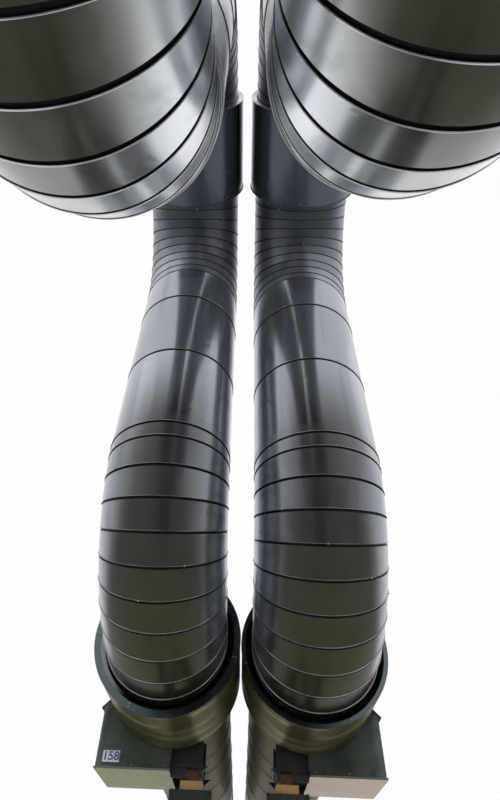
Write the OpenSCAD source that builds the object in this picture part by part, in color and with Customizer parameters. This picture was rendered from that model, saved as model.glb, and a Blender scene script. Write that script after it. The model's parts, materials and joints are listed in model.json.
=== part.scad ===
// Twin pipe bridge: two insulated, sheet-clad pipes rise side by side into a portal
// loop, cross over the top and come down again onto posts at both ends.
// X runs across the pair, Y along the pipeline, Z up from the ground.
// The origin is on the ground, midway between the pipes and between the two ends.

/* [Pipes] */
// Outside diameter of the steel carrier pipe
carrier_od = 711; // [508:1:914]
// Wall thickness of the carrier pipe
carrier_wall = 9; // [6:1:16]
// Insulation thickness on the left pipe
insulation_left = 130; // [80:5:140]
// Insulation thickness on the right pipe, the wider one
insulation_right = 150; // [140:5:180]
// Centre-line radius of every 90 degree bend
bend_r = 1067; // [900:1:1500]

/* [Portal] */
// Height of the low runs' centre line above the ground
low_z = 3380; // [3000:10:4200]
// Length of a riser between its two bends
riser_straight = 2080; // [1700:10:3200]
// Length of the left pipe's high run between its two bends
high_straight_left = 580; // [300:2:1400]
// Length of the right pipe's high run between its two bends
high_straight_right = 798; // [400:2:1600]
// Length of low run that stands out behind a support housing
run_beyond = 4500; // [1200:10:6000]
// Length of bare carrier pipe at each cut end
stub_length = 250; // [150:10:400]

/* [Cladding sheets] */
// Length of one sheet along a straight run
sheet_length = 830; // [500:5:1200]
// Distance from a housing's back to the short sheet that closes a low run behind it
closing_gap = 420; // [100:5:900]
// Length of that closing sheet
closing_sheet = 530; // [200:5:700]
// Distance from the top of a riser to its first seam
first_riser_seam = 476; // [200:1:700]
// How far a sheet's rim stands proud of the sheet
rim_height = 5; // [3:0.5:10]
// Length of the raised rim at the end of a sheet
rim_length = 22; // [12:1:40]
// Depth of the sealing groove that follows a rim
groove_depth = 6; // [3:0.5:12]
// Length of the sealing groove
groove_length = 18; // [10:1:40]
// Angle of one gore in a bend, in degrees
gore_deg = 8.75; // [6:0.05:12]
// Angle of the seam where the riser's last sheet ends, inside a lower bend
cuff_start = 3.0; // [2:0.1:5]
// Angle of the narrow cuff between that seam and the first full gore
cuff_deg = 4.9; // [4:0.1:8]
// Angle of the first gore seam of an upper bend, from its riser
upper_first = 1.0; // [0.8:0.1:4]

/* [Sleeves] */
// Gap between the wider pipe's cladding and its end sleeves. Both pipes' sleeves are alike.
sleeve_gap = 78.5; // [60:0.5:120]
// Gap between the sleeves of the two pipes, which sets how far apart the pipes are
sleeve_clearance = 4; // [2:1:300]
// Sheet thickness of a sleeve
sleeve_wall = 6; // [4:1:12]
// Gap between a pipe's cladding and a sleeve's front ring
ring_gap = 25; // [15:1:50]
// Length of the lip turned inwards from the front ring
lip_length = 40; // [15:1:80]
// How far the segments of a front ring lap over each other
ring_lap = 34; // [20:1:60]
// How far a sleeve reaches over the lower bend
sleeve_over_bend = 30; // [0:5:100]
// Length of the left pipe's end sleeves. The right pipe's end at the same place.
sleeve_length = 856; // [600:2:1200]
// How far the sleeve over the crown reaches from its middle towards the near end
crown_near = 470; // [350:2:470]
// How far it reaches towards the far end
crown_far = 440; // [350:2:470]
// Gap between a pipe's cladding and the crown sleeve
crown_gap = 49; // [45:1:90]

/* [Support housings] */
// Length of a support housing along the pipe
housing_length = 700; // [400:5:900]
// How far a housing's side wall stands outside the sleeve in front of it
housing_margin = 15; // [5:1:60]
// How far the housing reaches past the pipe's centre line towards the other pipe
housing_in = 20; // [0:1:80]
// Gap between the wider pipe's cladding and a housing's floor
floor_gap = 240; // [180:1:320]
// Depth of the housing's eaves below the pipe's centre line
eaves_drop = 275; // [200:1:360]
// How far the roof overhangs the walls
eaves_out = 24; // [10:1:50]

/* [Supports] */
// Distance of a bearing from its pipe's centre line, towards the other pipe
bearing_x = 198; // [150:1:260]
// Depth of a bearing's top below the housing's floor
bearing_drop = 30; // [0:1:60]
// Thickness of the saddle's plates
saddle_plate = 20; // [12:1:30]
// How far the saddle's cross plates stand in from the housing's ends
saddle_inset = 90; // [60:1:150]
// How far a saddle reaches past the middle of its bearing
saddle_reach = 86; // [70:1:120]
// How far a post's foot stands outside its head
foot_spread = 420; // [200:10:600]
// Width of a post's leg across the pipes
post_w = 240; // [180:5:300]
// Depth of a post's leg along the pipes
post_d = 300; // [200:5:400]
// Flange thickness of a leg's H-section
flange_t = 17; // [10:1:30]
// Web thickness of a leg's H-section
web_t = 10; // [6:1:20]
// Height of the lower tie beam's underside above the ground
tie_z = 900; // [600:10:1400]
// Width of the square base plate under a post
base_w = 560; // [460:10:700]
// Thickness of the base plate
base_t = 30; // [20:1:50]
// Radius of the anchor bolt holes
anchor_hole_r = 16; // [10:1:24]
// Distance between anchor bolts, both ways
anchor_pitch = 440; // [340:10:560]

/* [Hidden] */

// Smoothness of round pieces
$fn = 96;
// How far a cutting tool reaches past what it cuts
past = 1;

// One value for the left pipe and one for the right, picked by side
insulation = [insulation_left, insulation_right];
high_straight = [high_straight_left, high_straight_right];

function clad_r(side) = carrier_od/2 + insulation[side];
function riser_y(side) = high_straight[side]/2 + bend_r;
function bend_end_y(side) = riser_y(side) + bend_r;
function sleeve_y(side) = bend_end_y(side) - sleeve_over_bend;

sleeve_r = clad_r(1) + sleeve_gap + sleeve_wall;
ring_r = sleeve_r + rim_height;
pipe_spacing = 2*ring_r + sleeve_clearance;

riser_foot = low_z + bend_r;
riser_top = riser_foot + riser_straight;
high_z = riser_top + bend_r;
housing_y = sleeve_y(0) + sleeve_length;
housing_back = housing_y + housing_length;
housing_mid = housing_y + housing_length/2;
run_end = housing_back + run_beyond;

// The first sheet of a run is cut, but never shorter than this
shortest_sheet = 100;
// Places of the laps round a front ring, in degrees from its lowest point towards the
// other pipe, and the thickness of the segment that lies on top
ring_joints = [-91, -24, 76, 165];
ring_segment_t = 3;
// Spacer ring that holds a crown sleeve off its pipe, and the lips at its ends
spacer_length = 40;
crown_lip_in = 12;
crown_lip_out = 8;

housing_out = sleeve_r + housing_margin;
housing_drop = clad_r(1) + floor_gap;
roof_t = 4;
// Drip edge that is turned out along the foot of a housing's walls
drip_edge = [10, 16];
// How far the roof's slope stops below the pipe's centre line
roof_top_drop = 20;

// Support stack under a pipe, each piece as [across, along, height]
rocker = [100, 380, 78];
bearing = [190, 430, 70];
head = [350, 520, 120];
bearing_top = low_z - housing_drop - bearing_drop;
saddle_foot_z = bearing_top + rocker.z;
head_top = bearing_top - bearing.z;
leg_top = head_top - head.z;

// The saddle's cross plates: the pointed ear at each foot, the gap under the plates and
// the play of the notch over the rocker
saddle_ear = [54, 48];
saddle_lift = 10;
notch_play = 6;
foot_overhang = 30;
saddle_edge = bearing_x + saddle_reach;

// Post heads are box beams with plates on their ends, rounded at the top
head_plate = 25;
head_plate_rise = 8;
head_corner_r = 40;
head_recess = 12;

// H-section legs lean outwards from the post heads to the base plates
post_x = pipe_spacing/2 - bearing_x;
lean = foot_spread/(leg_top - base_t);
gusset_t = 14;
gusset = [105, 170];
gusset_x = 75;

// Beams between the legs of one end, and the braces that rise from the lower one
tie = [160, 180];
upper_tie_gap = 90;
brace_t = 60;

clad_green = [0.17, 0.20, 0.18];
clad_pale = [0.30, 0.33, 0.27];
support_black = [0.07, 0.07, 0.07];
housing_green = [0.10, 0.15, 0.13];
bearing_tan = [0.68, 0.47, 0.24];
steel_red = [0.33, 0.16, 0.11];

// Puts a piece in its place. Pieces are made for the left pipe's far end, with that
// pipe's centre line at X = 0, its outer side at -X and the other pipe at +X.
module placed(side, end = 1) {
    mirror([side, 0, 0])
        mirror([0, 1 - end, 0])
            translate([-pipe_spacing/2, 0, 0])
                children();
}

// Turns a piece made along +Z so that it runs along +Y
module along_y(y, z) {
    translate([0, y, z])
        rotate([-90, 0, 0])
            children();
}

// Outline drawn across the pipe, X outwards from its centre line and Y up from it,
// made into a plate that starts at y and is thick along the pipe
module across(y, thick) {
    translate([0, y + thick, low_z])
        rotate([90, 0, 0])
            linear_extrude(thick)
                children();
}

// Flat ring around a pipe, lying along +Z
module ring(inner_r, outer_r, length) {
    difference() {
        cylinder(r = outer_r, h = length);
        translate([0, 0, -past])
            cylinder(r = inner_r, h = length + 2*past);
    }
}

// Half profile of one sheet of a straight run, from 0 to len: the groove behind the
// sheet before it at the start, and its own raised rim at the end
module sheet_profile(r, len, groove, rim) {
    floor_r = groove ? r - groove_depth : r;
    top_r = rim ? r + rim_height : r;
    polygon([[0, 0], [floor_r, 0], [floor_r, groove_length], [r, groove_length],
             [r, len - rim_length], [top_r, len - rim_length], [top_r, len], [0, len]]);
}

// Straight run of sheets along +Z. seams lists where each rim ends. A run with a cut end
// has a rim there too.
module sheeted_run(r, length, seams, cut_end = false) {
    stops = concat([0], seams, [length]);
    last = len(stops) - 2;
    rotate_extrude()
        for (i = [0 : last])
            translate([0, stops[i]])
                sheet_profile(r, stops[i + 1] - stops[i], i > 0, i < last || cut_end);
}

// Wedge between two angles of a bend, measured from its first end. The bend's centre
// line starts at -Y, going down, and ends at -Z, going along +Y.
module wedge(a0, a1, half_width, reach) {
    rotate([90, 0, 90])
        linear_extrude(2*half_width, center = true)
            polygon([[0, 0],
                     [-reach*cos(a0), -reach*sin(a0)],
                     [-reach*cos(a1), -reach*sin(a1)]]);
}

// Straight pipe, tangent to the bend at angle at, cut off by the wedge from a0 to a1
module mitred(r, at, a0, a1) {
    intersection() {
        rotate([at, 0, 0])
            translate([0, -bend_r, 0])
                cylinder(r = r, h = bend_r, center = true);
        wedge(a0, a1, 2*r, 3*bend_r);
    }
}

// Segmental bend of mitred gores between the listed seam angles. Each gore's rim laps
// over the groove at the start of the next one.
module gored_bend(r, seams) {
    last = len(seams) - 2;
    rim_deg = rim_length/(bend_r + r)*180/PI;
    groove_deg = groove_length/(bend_r + r)*180/PI;
    for (i = [0 : last]) {
        a0 = seams[i];
        a1 = seams[i + 1];
        at = (a0 + a1)/2;
        mitred(r - groove_depth, at, a0, a1);
        mitred(r, at, a0 + (i > 0 ? groove_deg : 0), a1);
        if (i < last) mitred(r + rim_height, at, a1 - rim_deg, a1);
    }
}

// Seam angles of a bend, a gore apart from the first one on
function gore_angles(first) = [for (a = first; a < 90 - gore_deg/3; a = a + gore_deg) a];

function reversed(list) = [for (i = [len(list) - 1 : -1 : 0]) list[i]];

// Low run over the support to the cut end. Its sheets are counted both ways from the
// short closing sheet behind the housing.
module low_run(side) {
    start = bend_end_y(side);
    length = run_end - start;
    closing_seam = housing_back + closing_gap - start;
    sheets_before = floor((closing_seam - shortest_sheet)/sheet_length);
    color(clad_pale)
        along_y(start, low_z)
            sheeted_run(clad_r(side), length,
                        concat([for (i = [sheets_before : -1 : 0]) closing_seam - i*sheet_length],
                               [for (y = closing_seam + closing_sheet;
                                     y <= length - shortest_sheet; y = y + sheet_length) y]),
                        cut_end = true);
}

module carrier_stub() {
    color(steel_red)
        along_y(run_end, low_z)
            ring(carrier_od/2 - carrier_wall, carrier_od/2, stub_length);
}

module lower_bend(side) {
    color(clad_green)
        translate([0, bend_end_y(side), riser_foot])
            gored_bend(clad_r(side),
                       concat([0, cuff_start], gore_angles(cuff_start + cuff_deg), [90]));
}

module riser(side) {
    color(clad_green)
        translate([0, riser_y(side), riser_top])
            rotate([180, 0, 0])
                sheeted_run(clad_r(side), riser_straight,
                            [for (z = first_riser_seam; z <= riser_straight - shortest_sheet;
                                  z = z + sheet_length) z]);
}

module upper_bend(side) {
    seams = [for (a = reversed(gore_angles(upper_first))) 90 - a];
    color(clad_green)
        translate([0, riser_y(side) - bend_r, riser_top])
            mirror([0, 1, 1])
                gored_bend(clad_r(side), concat([0], seams, [90]));
}

module high_run(side) {
    color(clad_green)
        along_y(-high_straight[side]/2, high_z)
            cylinder(r = clad_r(side), h = high_straight[side]);
}

// Sleeve over the crown of the loop: a barrel with lips turned in and out at both ends,
// held by a spacer ring around the high run
module crown_sleeve(side) {
    r = clad_r(side) + crown_gap;
    color(clad_green)
        along_y(-crown_near, high_z) {
            ring(r, r + sleeve_wall, crown_near + crown_far);
            for (z = [0, crown_near + crown_far - sleeve_wall])
                translate([0, 0, z])
                    ring(r - crown_lip_in, r + sleeve_wall + crown_lip_out, sleeve_wall);
            translate([0, 0, crown_near - spacer_length/2])
                ring(clad_r(side), r + past, spacer_length);
        }
}

// End of one segment of a front ring, where it lies on the next one
module segment_end(inner_r, outer_r) {
    translate([inner_r, -ring_lap/2, -ring_segment_t])
        cube([outer_r - inner_r, ring_lap, ring_segment_t + past]);
}

// Sleeve over the start of a low run: a wide front ring in lapped segments with a lip
// turned in around the pipe, a barrel, and a back ring that sits on the cladding
module sleeve(side) {
    start = sleeve_y(side);
    length = housing_y - start;
    eye_r = clad_r(side) + ring_gap;
    color(clad_pale)
        along_y(start, low_z) {
            ring(eye_r, ring_r, sleeve_wall);
            ring(eye_r, eye_r + sleeve_wall, lip_length);
            for (a = ring_joints)
                rotate(90 - a)
                    segment_end(eye_r + 2*sleeve_wall, sleeve_r - sleeve_wall);
            ring(sleeve_r - sleeve_wall, sleeve_r, length);
            translate([0, 0, length - sleeve_wall])
                ring(clad_r(side), sleeve_r, sleeve_wall);
        }
}

// Section of the support housing: floor, side wall, sloping roof up to the pipe's side
module housing_section() {
    polygon([[housing_in, -housing_drop],
             [-housing_out, -housing_drop],
             [-housing_out, -eaves_drop],
             [-housing_out + eaves_drop - roof_top_drop, -roof_top_drop],
             [housing_in, -roof_top_drop]]);
}

// Section of the roof sheet, which follows the slope and runs on past the eaves
module roof_section() {
    foot = [-housing_out - eaves_out, -eaves_drop - eaves_out];
    top = [-housing_out + eaves_drop - roof_top_drop, -roof_top_drop];
    polygon([foot, foot + [0, roof_t], top + [0, roof_t], top]);
}

// Sheet-metal housing around the outer half of a saddle, with a drip edge along its
// walls and a roof sheet that overhangs it all round
module housing(side) {
    color(housing_green)
        difference() {
            union() {
                across(housing_y, housing_length) housing_section();
                translate([-housing_out - drip_edge.x, housing_y - drip_edge.x,
                           low_z - housing_drop])
                    cube([housing_in + housing_out + drip_edge.x,
                          housing_length + 2*drip_edge.x, drip_edge.y]);
                across(housing_y - eaves_out, housing_length + 2*eaves_out) roof_section();
            }
            along_y(housing_y - 2*eaves_out, low_z)
                cylinder(r = clad_r(side), h = housing_length + 4*eaves_out);
            along_y(housing_y - 2*eaves_out, low_z)
                cylinder(r = sleeve_r, h = 2*eaves_out);
        }
}

// Cross plate of a saddle, cut to the pipe's round and notched over the rocker, with a
// pointed ear at its foot
module cross_plate(side, y) {
    foot = bearing_top + saddle_lift - low_z;
    ear_top = saddle_foot_z + saddle_plate - low_z;
    difference() {
        across(y, saddle_plate)
            polygon([[housing_in, foot], [saddle_edge, foot],
                     [saddle_edge, ear_top - saddle_ear.y],
                     [saddle_edge + saddle_ear.x, ear_top],
                     [saddle_edge, ear_top],
                     [saddle_edge, -clad_r(side)/2], [housing_in, -clad_r(side)/2]]);
        along_y(y - past, low_z)
            cylinder(r = clad_r(side), h = saddle_plate + 2*past);
        translate([bearing_x - rocker.x/2 - notch_play, y - past, bearing_top])
            cube([rocker.x + 2*notch_play, saddle_plate + 2*past, rocker.z]);
    }
}

// Saddle: two cross plates and the web between them on a foot plate, over the rocker
module shoe(side) {
    front = housing_y + saddle_inset;
    back = housing_back - saddle_inset - saddle_plate;
    color(support_black) {
        for (y = [front, back]) cross_plate(side, y);
        difference() {
            translate([bearing_x - saddle_plate/2, front, saddle_foot_z])
                cube([saddle_plate, back - front, low_z - clad_r(side)/2 - saddle_foot_z]);
            along_y(front - past, low_z)
                cylinder(r = clad_r(side), h = back - front + 2*past);
        }
        translate([housing_in, front - foot_overhang, saddle_foot_z])
            cube([saddle_edge - housing_in, back - front + saddle_plate + 2*foot_overhang,
                  saddle_plate]);
    }
    color(steel_red)
        translate([bearing_x - rocker.x/2, housing_mid - rocker.y/2, bearing_top])
            cube(rocker);
}

module bearing_block() {
    color(bearing_tan)
        translate([bearing_x - bearing.x/2, housing_mid - bearing.y/2, head_top])
            cube(bearing);
}

// Plate on the end of a post head, in the YZ plane, its top corners rounded
module head_end_plate() {
    half = head.y/2;
    top = head.z + head_plate_rise;
    rotate([90, 0, 90])
        linear_extrude(head_plate) {
            translate([-half, 0]) square([2*half, top - head_corner_r]);
            translate([head_corner_r - half, 0]) square([2*(half - head_corner_r), top]);
            for (y = [-1, 1])
                translate([y*(half - head_corner_r), top - head_corner_r])
                    circle(head_corner_r);
        }
}

// Box beam under a bearing, with its end plates
module post_head() {
    translate([bearing_x - head.x/2 + head_plate/2, housing_mid - head.y/2 + head_recess, leg_top])
        cube([head.x - head_plate, head.y - 2*head_recess, head.z]);
    for (x = [bearing_x - head.x/2, bearing_x + head.x/2 - head_plate])
        translate([x, housing_mid, leg_top])
            head_end_plate();
}

// Section of an H-section leg, flanges across Y
module leg_section() {
    for (y = [-1, 1])
        translate([0, y*(post_d - flange_t)/2])
            square([post_w, flange_t], center = true);
    square([web_t, post_d], center = true);
}

// Four triangular gussets that stand on a plate at z = 0 against a leg's flanges
module gussets() {
    for (x = [-1, 1], y = [-1, 1])
        mirror([0, (1 - y)/2, 0])
            translate([x*gusset_x - gusset_t/2, post_d/2, 0])
                rotate([90, 0, 90])
                    linear_extrude(gusset_t)
                        polygon([[0, 0], [gusset.x, 0], [0, gusset.y]]);
}

// Square plate with four anchor bolt holes
module base_plate() {
    difference() {
        translate([-base_w/2, -base_w/2, 0])
            cube([base_w, base_w, base_t]);
        for (x = [-1, 1], y = [-1, 1])
            translate([x*anchor_pitch/2, y*anchor_pitch/2, -past])
                cylinder(r = anchor_hole_r, h = base_t + 2*past);
    }
}

// Leaning leg between its head beam and its base plate, with gussets at both ends
module post() {
    color(support_black) {
        intersection() {
            translate([bearing_x, housing_mid, leg_top])
                rotate([0, atan(lean), 0])
                    translate([0, 0, -2*leg_top])
                        linear_extrude(3*leg_top)
                            leg_section();
            translate([-leg_top, housing_mid - post_d, base_t])
                cube([3*leg_top, 2*post_d, leg_top - base_t]);
        }
        post_head();
        translate([bearing_x, housing_mid, leg_top]) mirror([0, 0, 1]) gussets();
        translate([bearing_x - foot_spread, housing_mid, 0]) {
            base_plate();
            translate([0, 0, base_t]) gussets();
        }
    }
}

// Distance from the middle of the bridge to the inner face of a leg's web at height z
function web_x(z) = post_x + (leg_top - z)*lean - web_t/2*sqrt(1 + lean*lean);

// Outline of a beam between the two legs' webs, drawn in X and Z, from z0 to z1
module between_webs(z0, z1) {
    polygon([[-web_x(z0), z0], [web_x(z0), z0], [web_x(z1), z1], [-web_x(z1), z1]]);
}

// Lower and upper beams that tie the two legs of one end together, and a brace on each
// side from the middle of the lower beam to the end of the upper one
module tie_frame() {
    upper_z = leg_top - upper_tie_gap - tie.y;
    color(support_black)
        translate([0, housing_mid, 0])
            rotate([90, 0, 0]) {
                linear_extrude(tie.x, center = true) {
                    between_webs(tie_z, tie_z + tie.y);
                    between_webs(upper_z, upper_z + tie.y);
                }
                linear_extrude(brace_t, center = true)
                    intersection() {
                        between_webs(tie_z + tie.y, upper_z);
                        for (x = [-1, 1])
                            polygon([[-brace_t, tie_z + tie.y], [brace_t, tie_z + tie.y],
                                     [x*post_x + brace_t, upper_z], [x*post_x - brace_t, upper_z]]);
                    }
            }
}

for (s = [0, 1], e = [0, 1]) {
    name = str(["left", "right"][s], "_", ["near", "far"][e], "_");
    placed(s, e) low_run(s);
    placed(s, e) lower_bend(s);
    placed(s, e) riser(s);
    placed(s, e) upper_bend(s);
    placed(s, e) sleeve(s);
    placed(s, e) housing(s);
    placed(s, e) shoe(s);
    placed(s, e) post();
    placed(s, e) carrier_stub();
}
for (s = [0, 1]) {
    name = ["left", "right"][s];
    placed(s) high_run(s);
    placed(s) crown_sleeve(s);
}
for (e = [0, 1]) {
    name = ["near", "far"][e];
    union() {
        placed(0, e) bearing_block();
        placed(1, e) bearing_block();
    }
    mirror([0, 1 - e, 0]) tie_frame();
}
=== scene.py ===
"""Looks of the twin pipe bridge: sheet cladding, sleeves, housings, supports and the studio around them."""

import json
from math import ceil, cos, floor, hypot, pi, radians, sin

import bmesh
import bpy
from bpy.props import FloatProperty, FloatVectorProperty, IntProperty, PointerProperty
from mathutils import Matrix, Vector


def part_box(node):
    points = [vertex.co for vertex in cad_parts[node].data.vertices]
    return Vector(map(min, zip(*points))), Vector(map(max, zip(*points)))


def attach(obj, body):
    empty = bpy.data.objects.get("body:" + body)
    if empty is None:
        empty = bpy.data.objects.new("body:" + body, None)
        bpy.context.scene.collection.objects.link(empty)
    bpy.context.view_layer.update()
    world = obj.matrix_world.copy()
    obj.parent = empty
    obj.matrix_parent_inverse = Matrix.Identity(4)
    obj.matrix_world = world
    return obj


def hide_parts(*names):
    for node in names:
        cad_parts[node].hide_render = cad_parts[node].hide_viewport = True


bl_info = {
    "name": "Twin Pipe Bridge",
    "version": (1, 0, 0),
    "blender": (4, 5, 0),
    "location": "View3D > Sidebar > Pipe Bridge",
    "description": "Builds the cladding, fittings and studio of a twin pipe bridge around its frame",
    "category": "Add Mesh",
}

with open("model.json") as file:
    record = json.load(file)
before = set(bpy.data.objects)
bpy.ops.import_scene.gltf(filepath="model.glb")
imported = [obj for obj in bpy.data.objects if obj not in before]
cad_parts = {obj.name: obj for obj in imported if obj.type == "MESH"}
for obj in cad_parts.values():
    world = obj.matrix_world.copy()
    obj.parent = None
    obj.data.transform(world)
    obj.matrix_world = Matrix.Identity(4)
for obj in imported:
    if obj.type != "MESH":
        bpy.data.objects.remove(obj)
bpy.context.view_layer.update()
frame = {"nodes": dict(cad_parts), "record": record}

SIDES = ("left", "right")
ENDS = ("near", "far")
RIM_HEIGHT = 0.005
AROUND = 160


# Sizes and colours that a user would change


def length(name, description, default):
    """A length in metres."""
    return FloatProperty(name=name, description=description, default=default, unit="LENGTH", precision=4)


def angle(name, description, degrees):
    """An angle, whose default is given in degrees."""
    return FloatProperty(name=name, description=description, default=radians(degrees), unit="ROTATION")


def colour(name, description, default):
    """A colour."""
    return FloatVectorProperty(name=name, description=description, default=default, subtype="COLOR",
                               size=3, min=0.0, max=1.0)


class BridgeSheets(bpy.types.PropertyGroup):
    """Sizes of the cladding sheets."""

    sheet_length: length("Sheet length", "Length of one sheet along a straight run", 0.83)
    closing_gap: length("Closing gap", "Distance from a housing's back to the short sheet behind it", 0.42)
    closing_sheet: length("Closing sheet", "Length of that short sheet", 0.53)
    shortest_sheet: length("Shortest sheet", "Least length of the sheet that starts a run", 0.1)
    first_riser_seam: length("First riser seam", "Distance from a riser's top to its first seam", 0.476)
    rim_height: length("Rim height", "How far a sheet's rim stands proud of it", RIM_HEIGHT)
    bead_length: length("Bead length", "Length of the rolled bead along a rim's edge", 0.006)
    groove_depth: length("Groove depth", "Depth of the sealed groove behind a rim", 0.006)
    groove_length: length("Groove length", "Length of the sealed groove behind a rim", 0.019)
    lap_height: length("Lap height", "Step where the two long edges of a sheet meet", 0.0025)
    gore: angle("Gore", "Angle of one gore of a bend", 8.75)
    cuff_start: angle("Cuff start", "Angle at which a riser's last sheet ends in a lower bend", 3.0)
    cuff: angle("Cuff", "Angle of the narrow cuff after it", 4.9)
    upper_first: angle("Upper first seam", "Angle from a riser to the first seam of an upper bend", 1.0)
    around: IntProperty(name="Around", description="Faces around a pipe", default=AROUND, min=24)


class BridgeFittings(bpy.types.PropertyGroup):
    """Sizes of the sleeves' edges and of the small fasteners."""

    sheet: length("Sheet", "Thickness of a sleeve's sheet", 0.006)
    ring_gap: length("Ring gap", "Gap between the cladding and a front ring", 0.025)
    lip: length("Lip", "Length of the lip turned in from a front ring", 0.05)
    flare: length("Flare", "How much wider a front ring's lip is at its front", 0.03)
    ring_lap: length("Ring lap", "How far the segments of a front ring lap", 0.034)
    crown_lip_in: length("Crown lip, inner", "How far a crown sleeve's end turns in", 0.038)
    crown_lip_out: length("Crown lip, outer", "How far a crown sleeve's end stands out", 0.008)
    screw: length("Screw", "Radius of a screw's head", 0.0045)
    rivet: length("Rivet", "Radius of a rivet's head", 0.004)
    screw_pitch: length("Screw pitch", "Distance between the screws of a seam", 1.3)
    rivet_pitch: length("Rivet pitch", "Distance between the rivets of a housing", 0.25)


class BridgeColours(bpy.types.PropertyGroup):
    """Colours of the finishes."""

    cladding: colour("Cladding", "Sheet of the pipes", (0.39, 0.41, 0.46))
    # The next five colours are painted shade and painted reflection of the ground on the pipes' sheets
    underside: colour("Underside", "Film of dirt on the undersides of the sheets", (0.058, 0.060, 0.056))
    algae: colour("Algae", "Green film on what faces straight down", (0.066, 0.080, 0.036))
    soot: colour("Soot", "Film under the upper bends", (0.062, 0.068, 0.085))
    olive: colour("Olive", "Film under the near bends", (0.060, 0.066, 0.044))
    mud: colour("Mud", "Film on the low runs", (0.23, 0.20, 0.13))
    # Painted reflection: this colour goes on the end sleeves where they face down; their upper side takes
    # the cladding colour
    barrel: colour("Barrel", "Sheet of the end sleeves' barrels", (0.22, 0.21, 0.11))
    slate: colour("Slate", "Sheet of the crown sleeves", (0.12, 0.14, 0.175))
    ring: colour("Ring", "Sheet of the end sleeves' front rings", (0.11, 0.14, 0.15))
    housing: colour("Housing", "Sheet of the support housings", (0.085, 0.108, 0.104))
    # The next two colours are painted reflection of the ground on the undersides of the housings
    moss: colour("Moss", "Film on the underside of the left housings", (0.22, 0.265, 0.03))
    sand: colour("Sand", "Film on the underside of the right housings", (0.70, 0.53, 0.38))
    steel: colour("Steel", "Paint of the trestles and saddles", (0.012, 0.013, 0.015))
    rust: colour("Rust", "Bare steel under a film of rust", (0.17, 0.07, 0.035))
    bearing: colour("Bearing", "Bearing blocks", (0.62, 0.40, 0.17))
    dust: colour("Dust", "Pale dust on what faces up", (0.34, 0.32, 0.27))
    floor: colour("Floor", "Studio floor", (0.72, 0.72, 0.71))


class BridgeStudio(bpy.types.PropertyGroup):
    """The camera and the light."""

    camera: FloatVectorProperty(name="Camera", description="Place of the camera", size=3,
                                default=(0.0155, -2.091, 1.553), subtype="TRANSLATION", unit="LENGTH")
    pitch: angle("Pitch", "How far the camera looks up", 46.297)
    yaw: angle("Yaw", "How far the camera turns towards +X", -3.472)
    roll: angle("Roll", "How far the camera leans", 3.292)
    lens: FloatProperty(name="Lens", description="Focal length in millimetres", default=24.494)
    shift: FloatVectorProperty(name="Shift", description="Shift of the camera's frame", size=2,
                               default=(0.0331, -0.0075))
    sky: FloatProperty(name="Sky", description="Strength of the light from all round", default=0.85)
    lamp: FloatProperty(name="Lamp", description="Brightness of the soft boxes", default=0.45)


SETTINGS = {"bridge_sheets": BridgeSheets, "bridge_fittings": BridgeFittings,
            "bridge_colours": BridgeColours, "bridge_studio": BridgeStudio}


# Sizes read from the frame


class Pipe:
    """One of the two pipes, measured on the frame's far end."""

    def __init__(self, side):
        riser_lo, riser_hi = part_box(f"{side}_far_riser")
        bend_lo, bend_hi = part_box(f"{side}_far_lower_bend")
        sleeve_lo, sleeve_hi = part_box(f"{side}_far_sleeve")
        crown_lo, crown_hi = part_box(f"{side}_crown_sleeve")
        stub_lo, stub_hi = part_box(f"{side}_far_carrier_stub")
        self.side = side
        self.x = (bend_lo.x + bend_hi.x) / 2
        self.radius = (bend_hi.x - bend_lo.x) / 2 - RIM_HEIGHT
        self.riser_y = (riser_lo.y + riser_hi.y) / 2
        self.riser_foot, self.riser_top = riser_lo.z, riser_hi.z
        self.rise = self.riser_top - self.riser_foot
        self.bend_end = bend_hi.y
        self.bend_radius = self.bend_end - self.riser_y
        self.low_z = self.riser_foot - self.bend_radius
        self.high_z = self.riser_top + self.bend_radius
        self.run_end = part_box(f"{side}_far_low_run")[1].y
        self.sleeve_start, self.sleeve_end = sleeve_lo.y, sleeve_hi.y
        self.ring_radius = (sleeve_hi.x - sleeve_lo.x) / 2
        self.barrel_radius = self.ring_radius - RIM_HEIGHT
        self.crown_near, self.crown_far = crown_lo.y, crown_hi.y
        self.crown_radius = (crown_hi.x - crown_lo.x) / 2
        self.carrier_radius = (stub_hi.x - stub_lo.x) / 2
        self.stub = stub_hi.y - stub_lo.y

    def placed(self, end):
        """Places what is made for the far end, with the pipe at X = 0 and the other pipe at +X."""
        mirror_y = Matrix.Scale(1 if end == "far" else -1, 4, (0, 1, 0))
        mirror_x = Matrix.Scale(1 if self.side == "left" else -1, 4, (1, 0, 0))
        return mirror_y @ Matrix.Translation((self.x, 0, 0)) @ mirror_x


PIPES = {side: Pipe(side) for side in SIDES}


def along_y(y, z):
    """Turns a piece made along +Z so that it runs along +Y from y, at height z."""
    return Matrix.Translation((0, y, z)) @ Matrix.Rotation(radians(-90), 4, "X")


# Node arithmetic


def feed(tree, slot, value):
    """Gives a node's input a field, a socket or a plain value."""
    if isinstance(value, Field):
        value = value.socket
    if isinstance(value, bpy.types.NodeSocket):
        tree.links.new(value, slot)
    else:
        slot.default_value = value


def new_node(tree, kind, inputs=(), **settings):
    """A node with its settings, and its inputs given by name or number as values, sockets or fields."""
    node = tree.nodes.new(kind)
    for name, value in settings.items():
        setattr(node, name, value)
    for name, value in dict(inputs).items():
        feed(tree, node.inputs[name], value)
    return node


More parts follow.
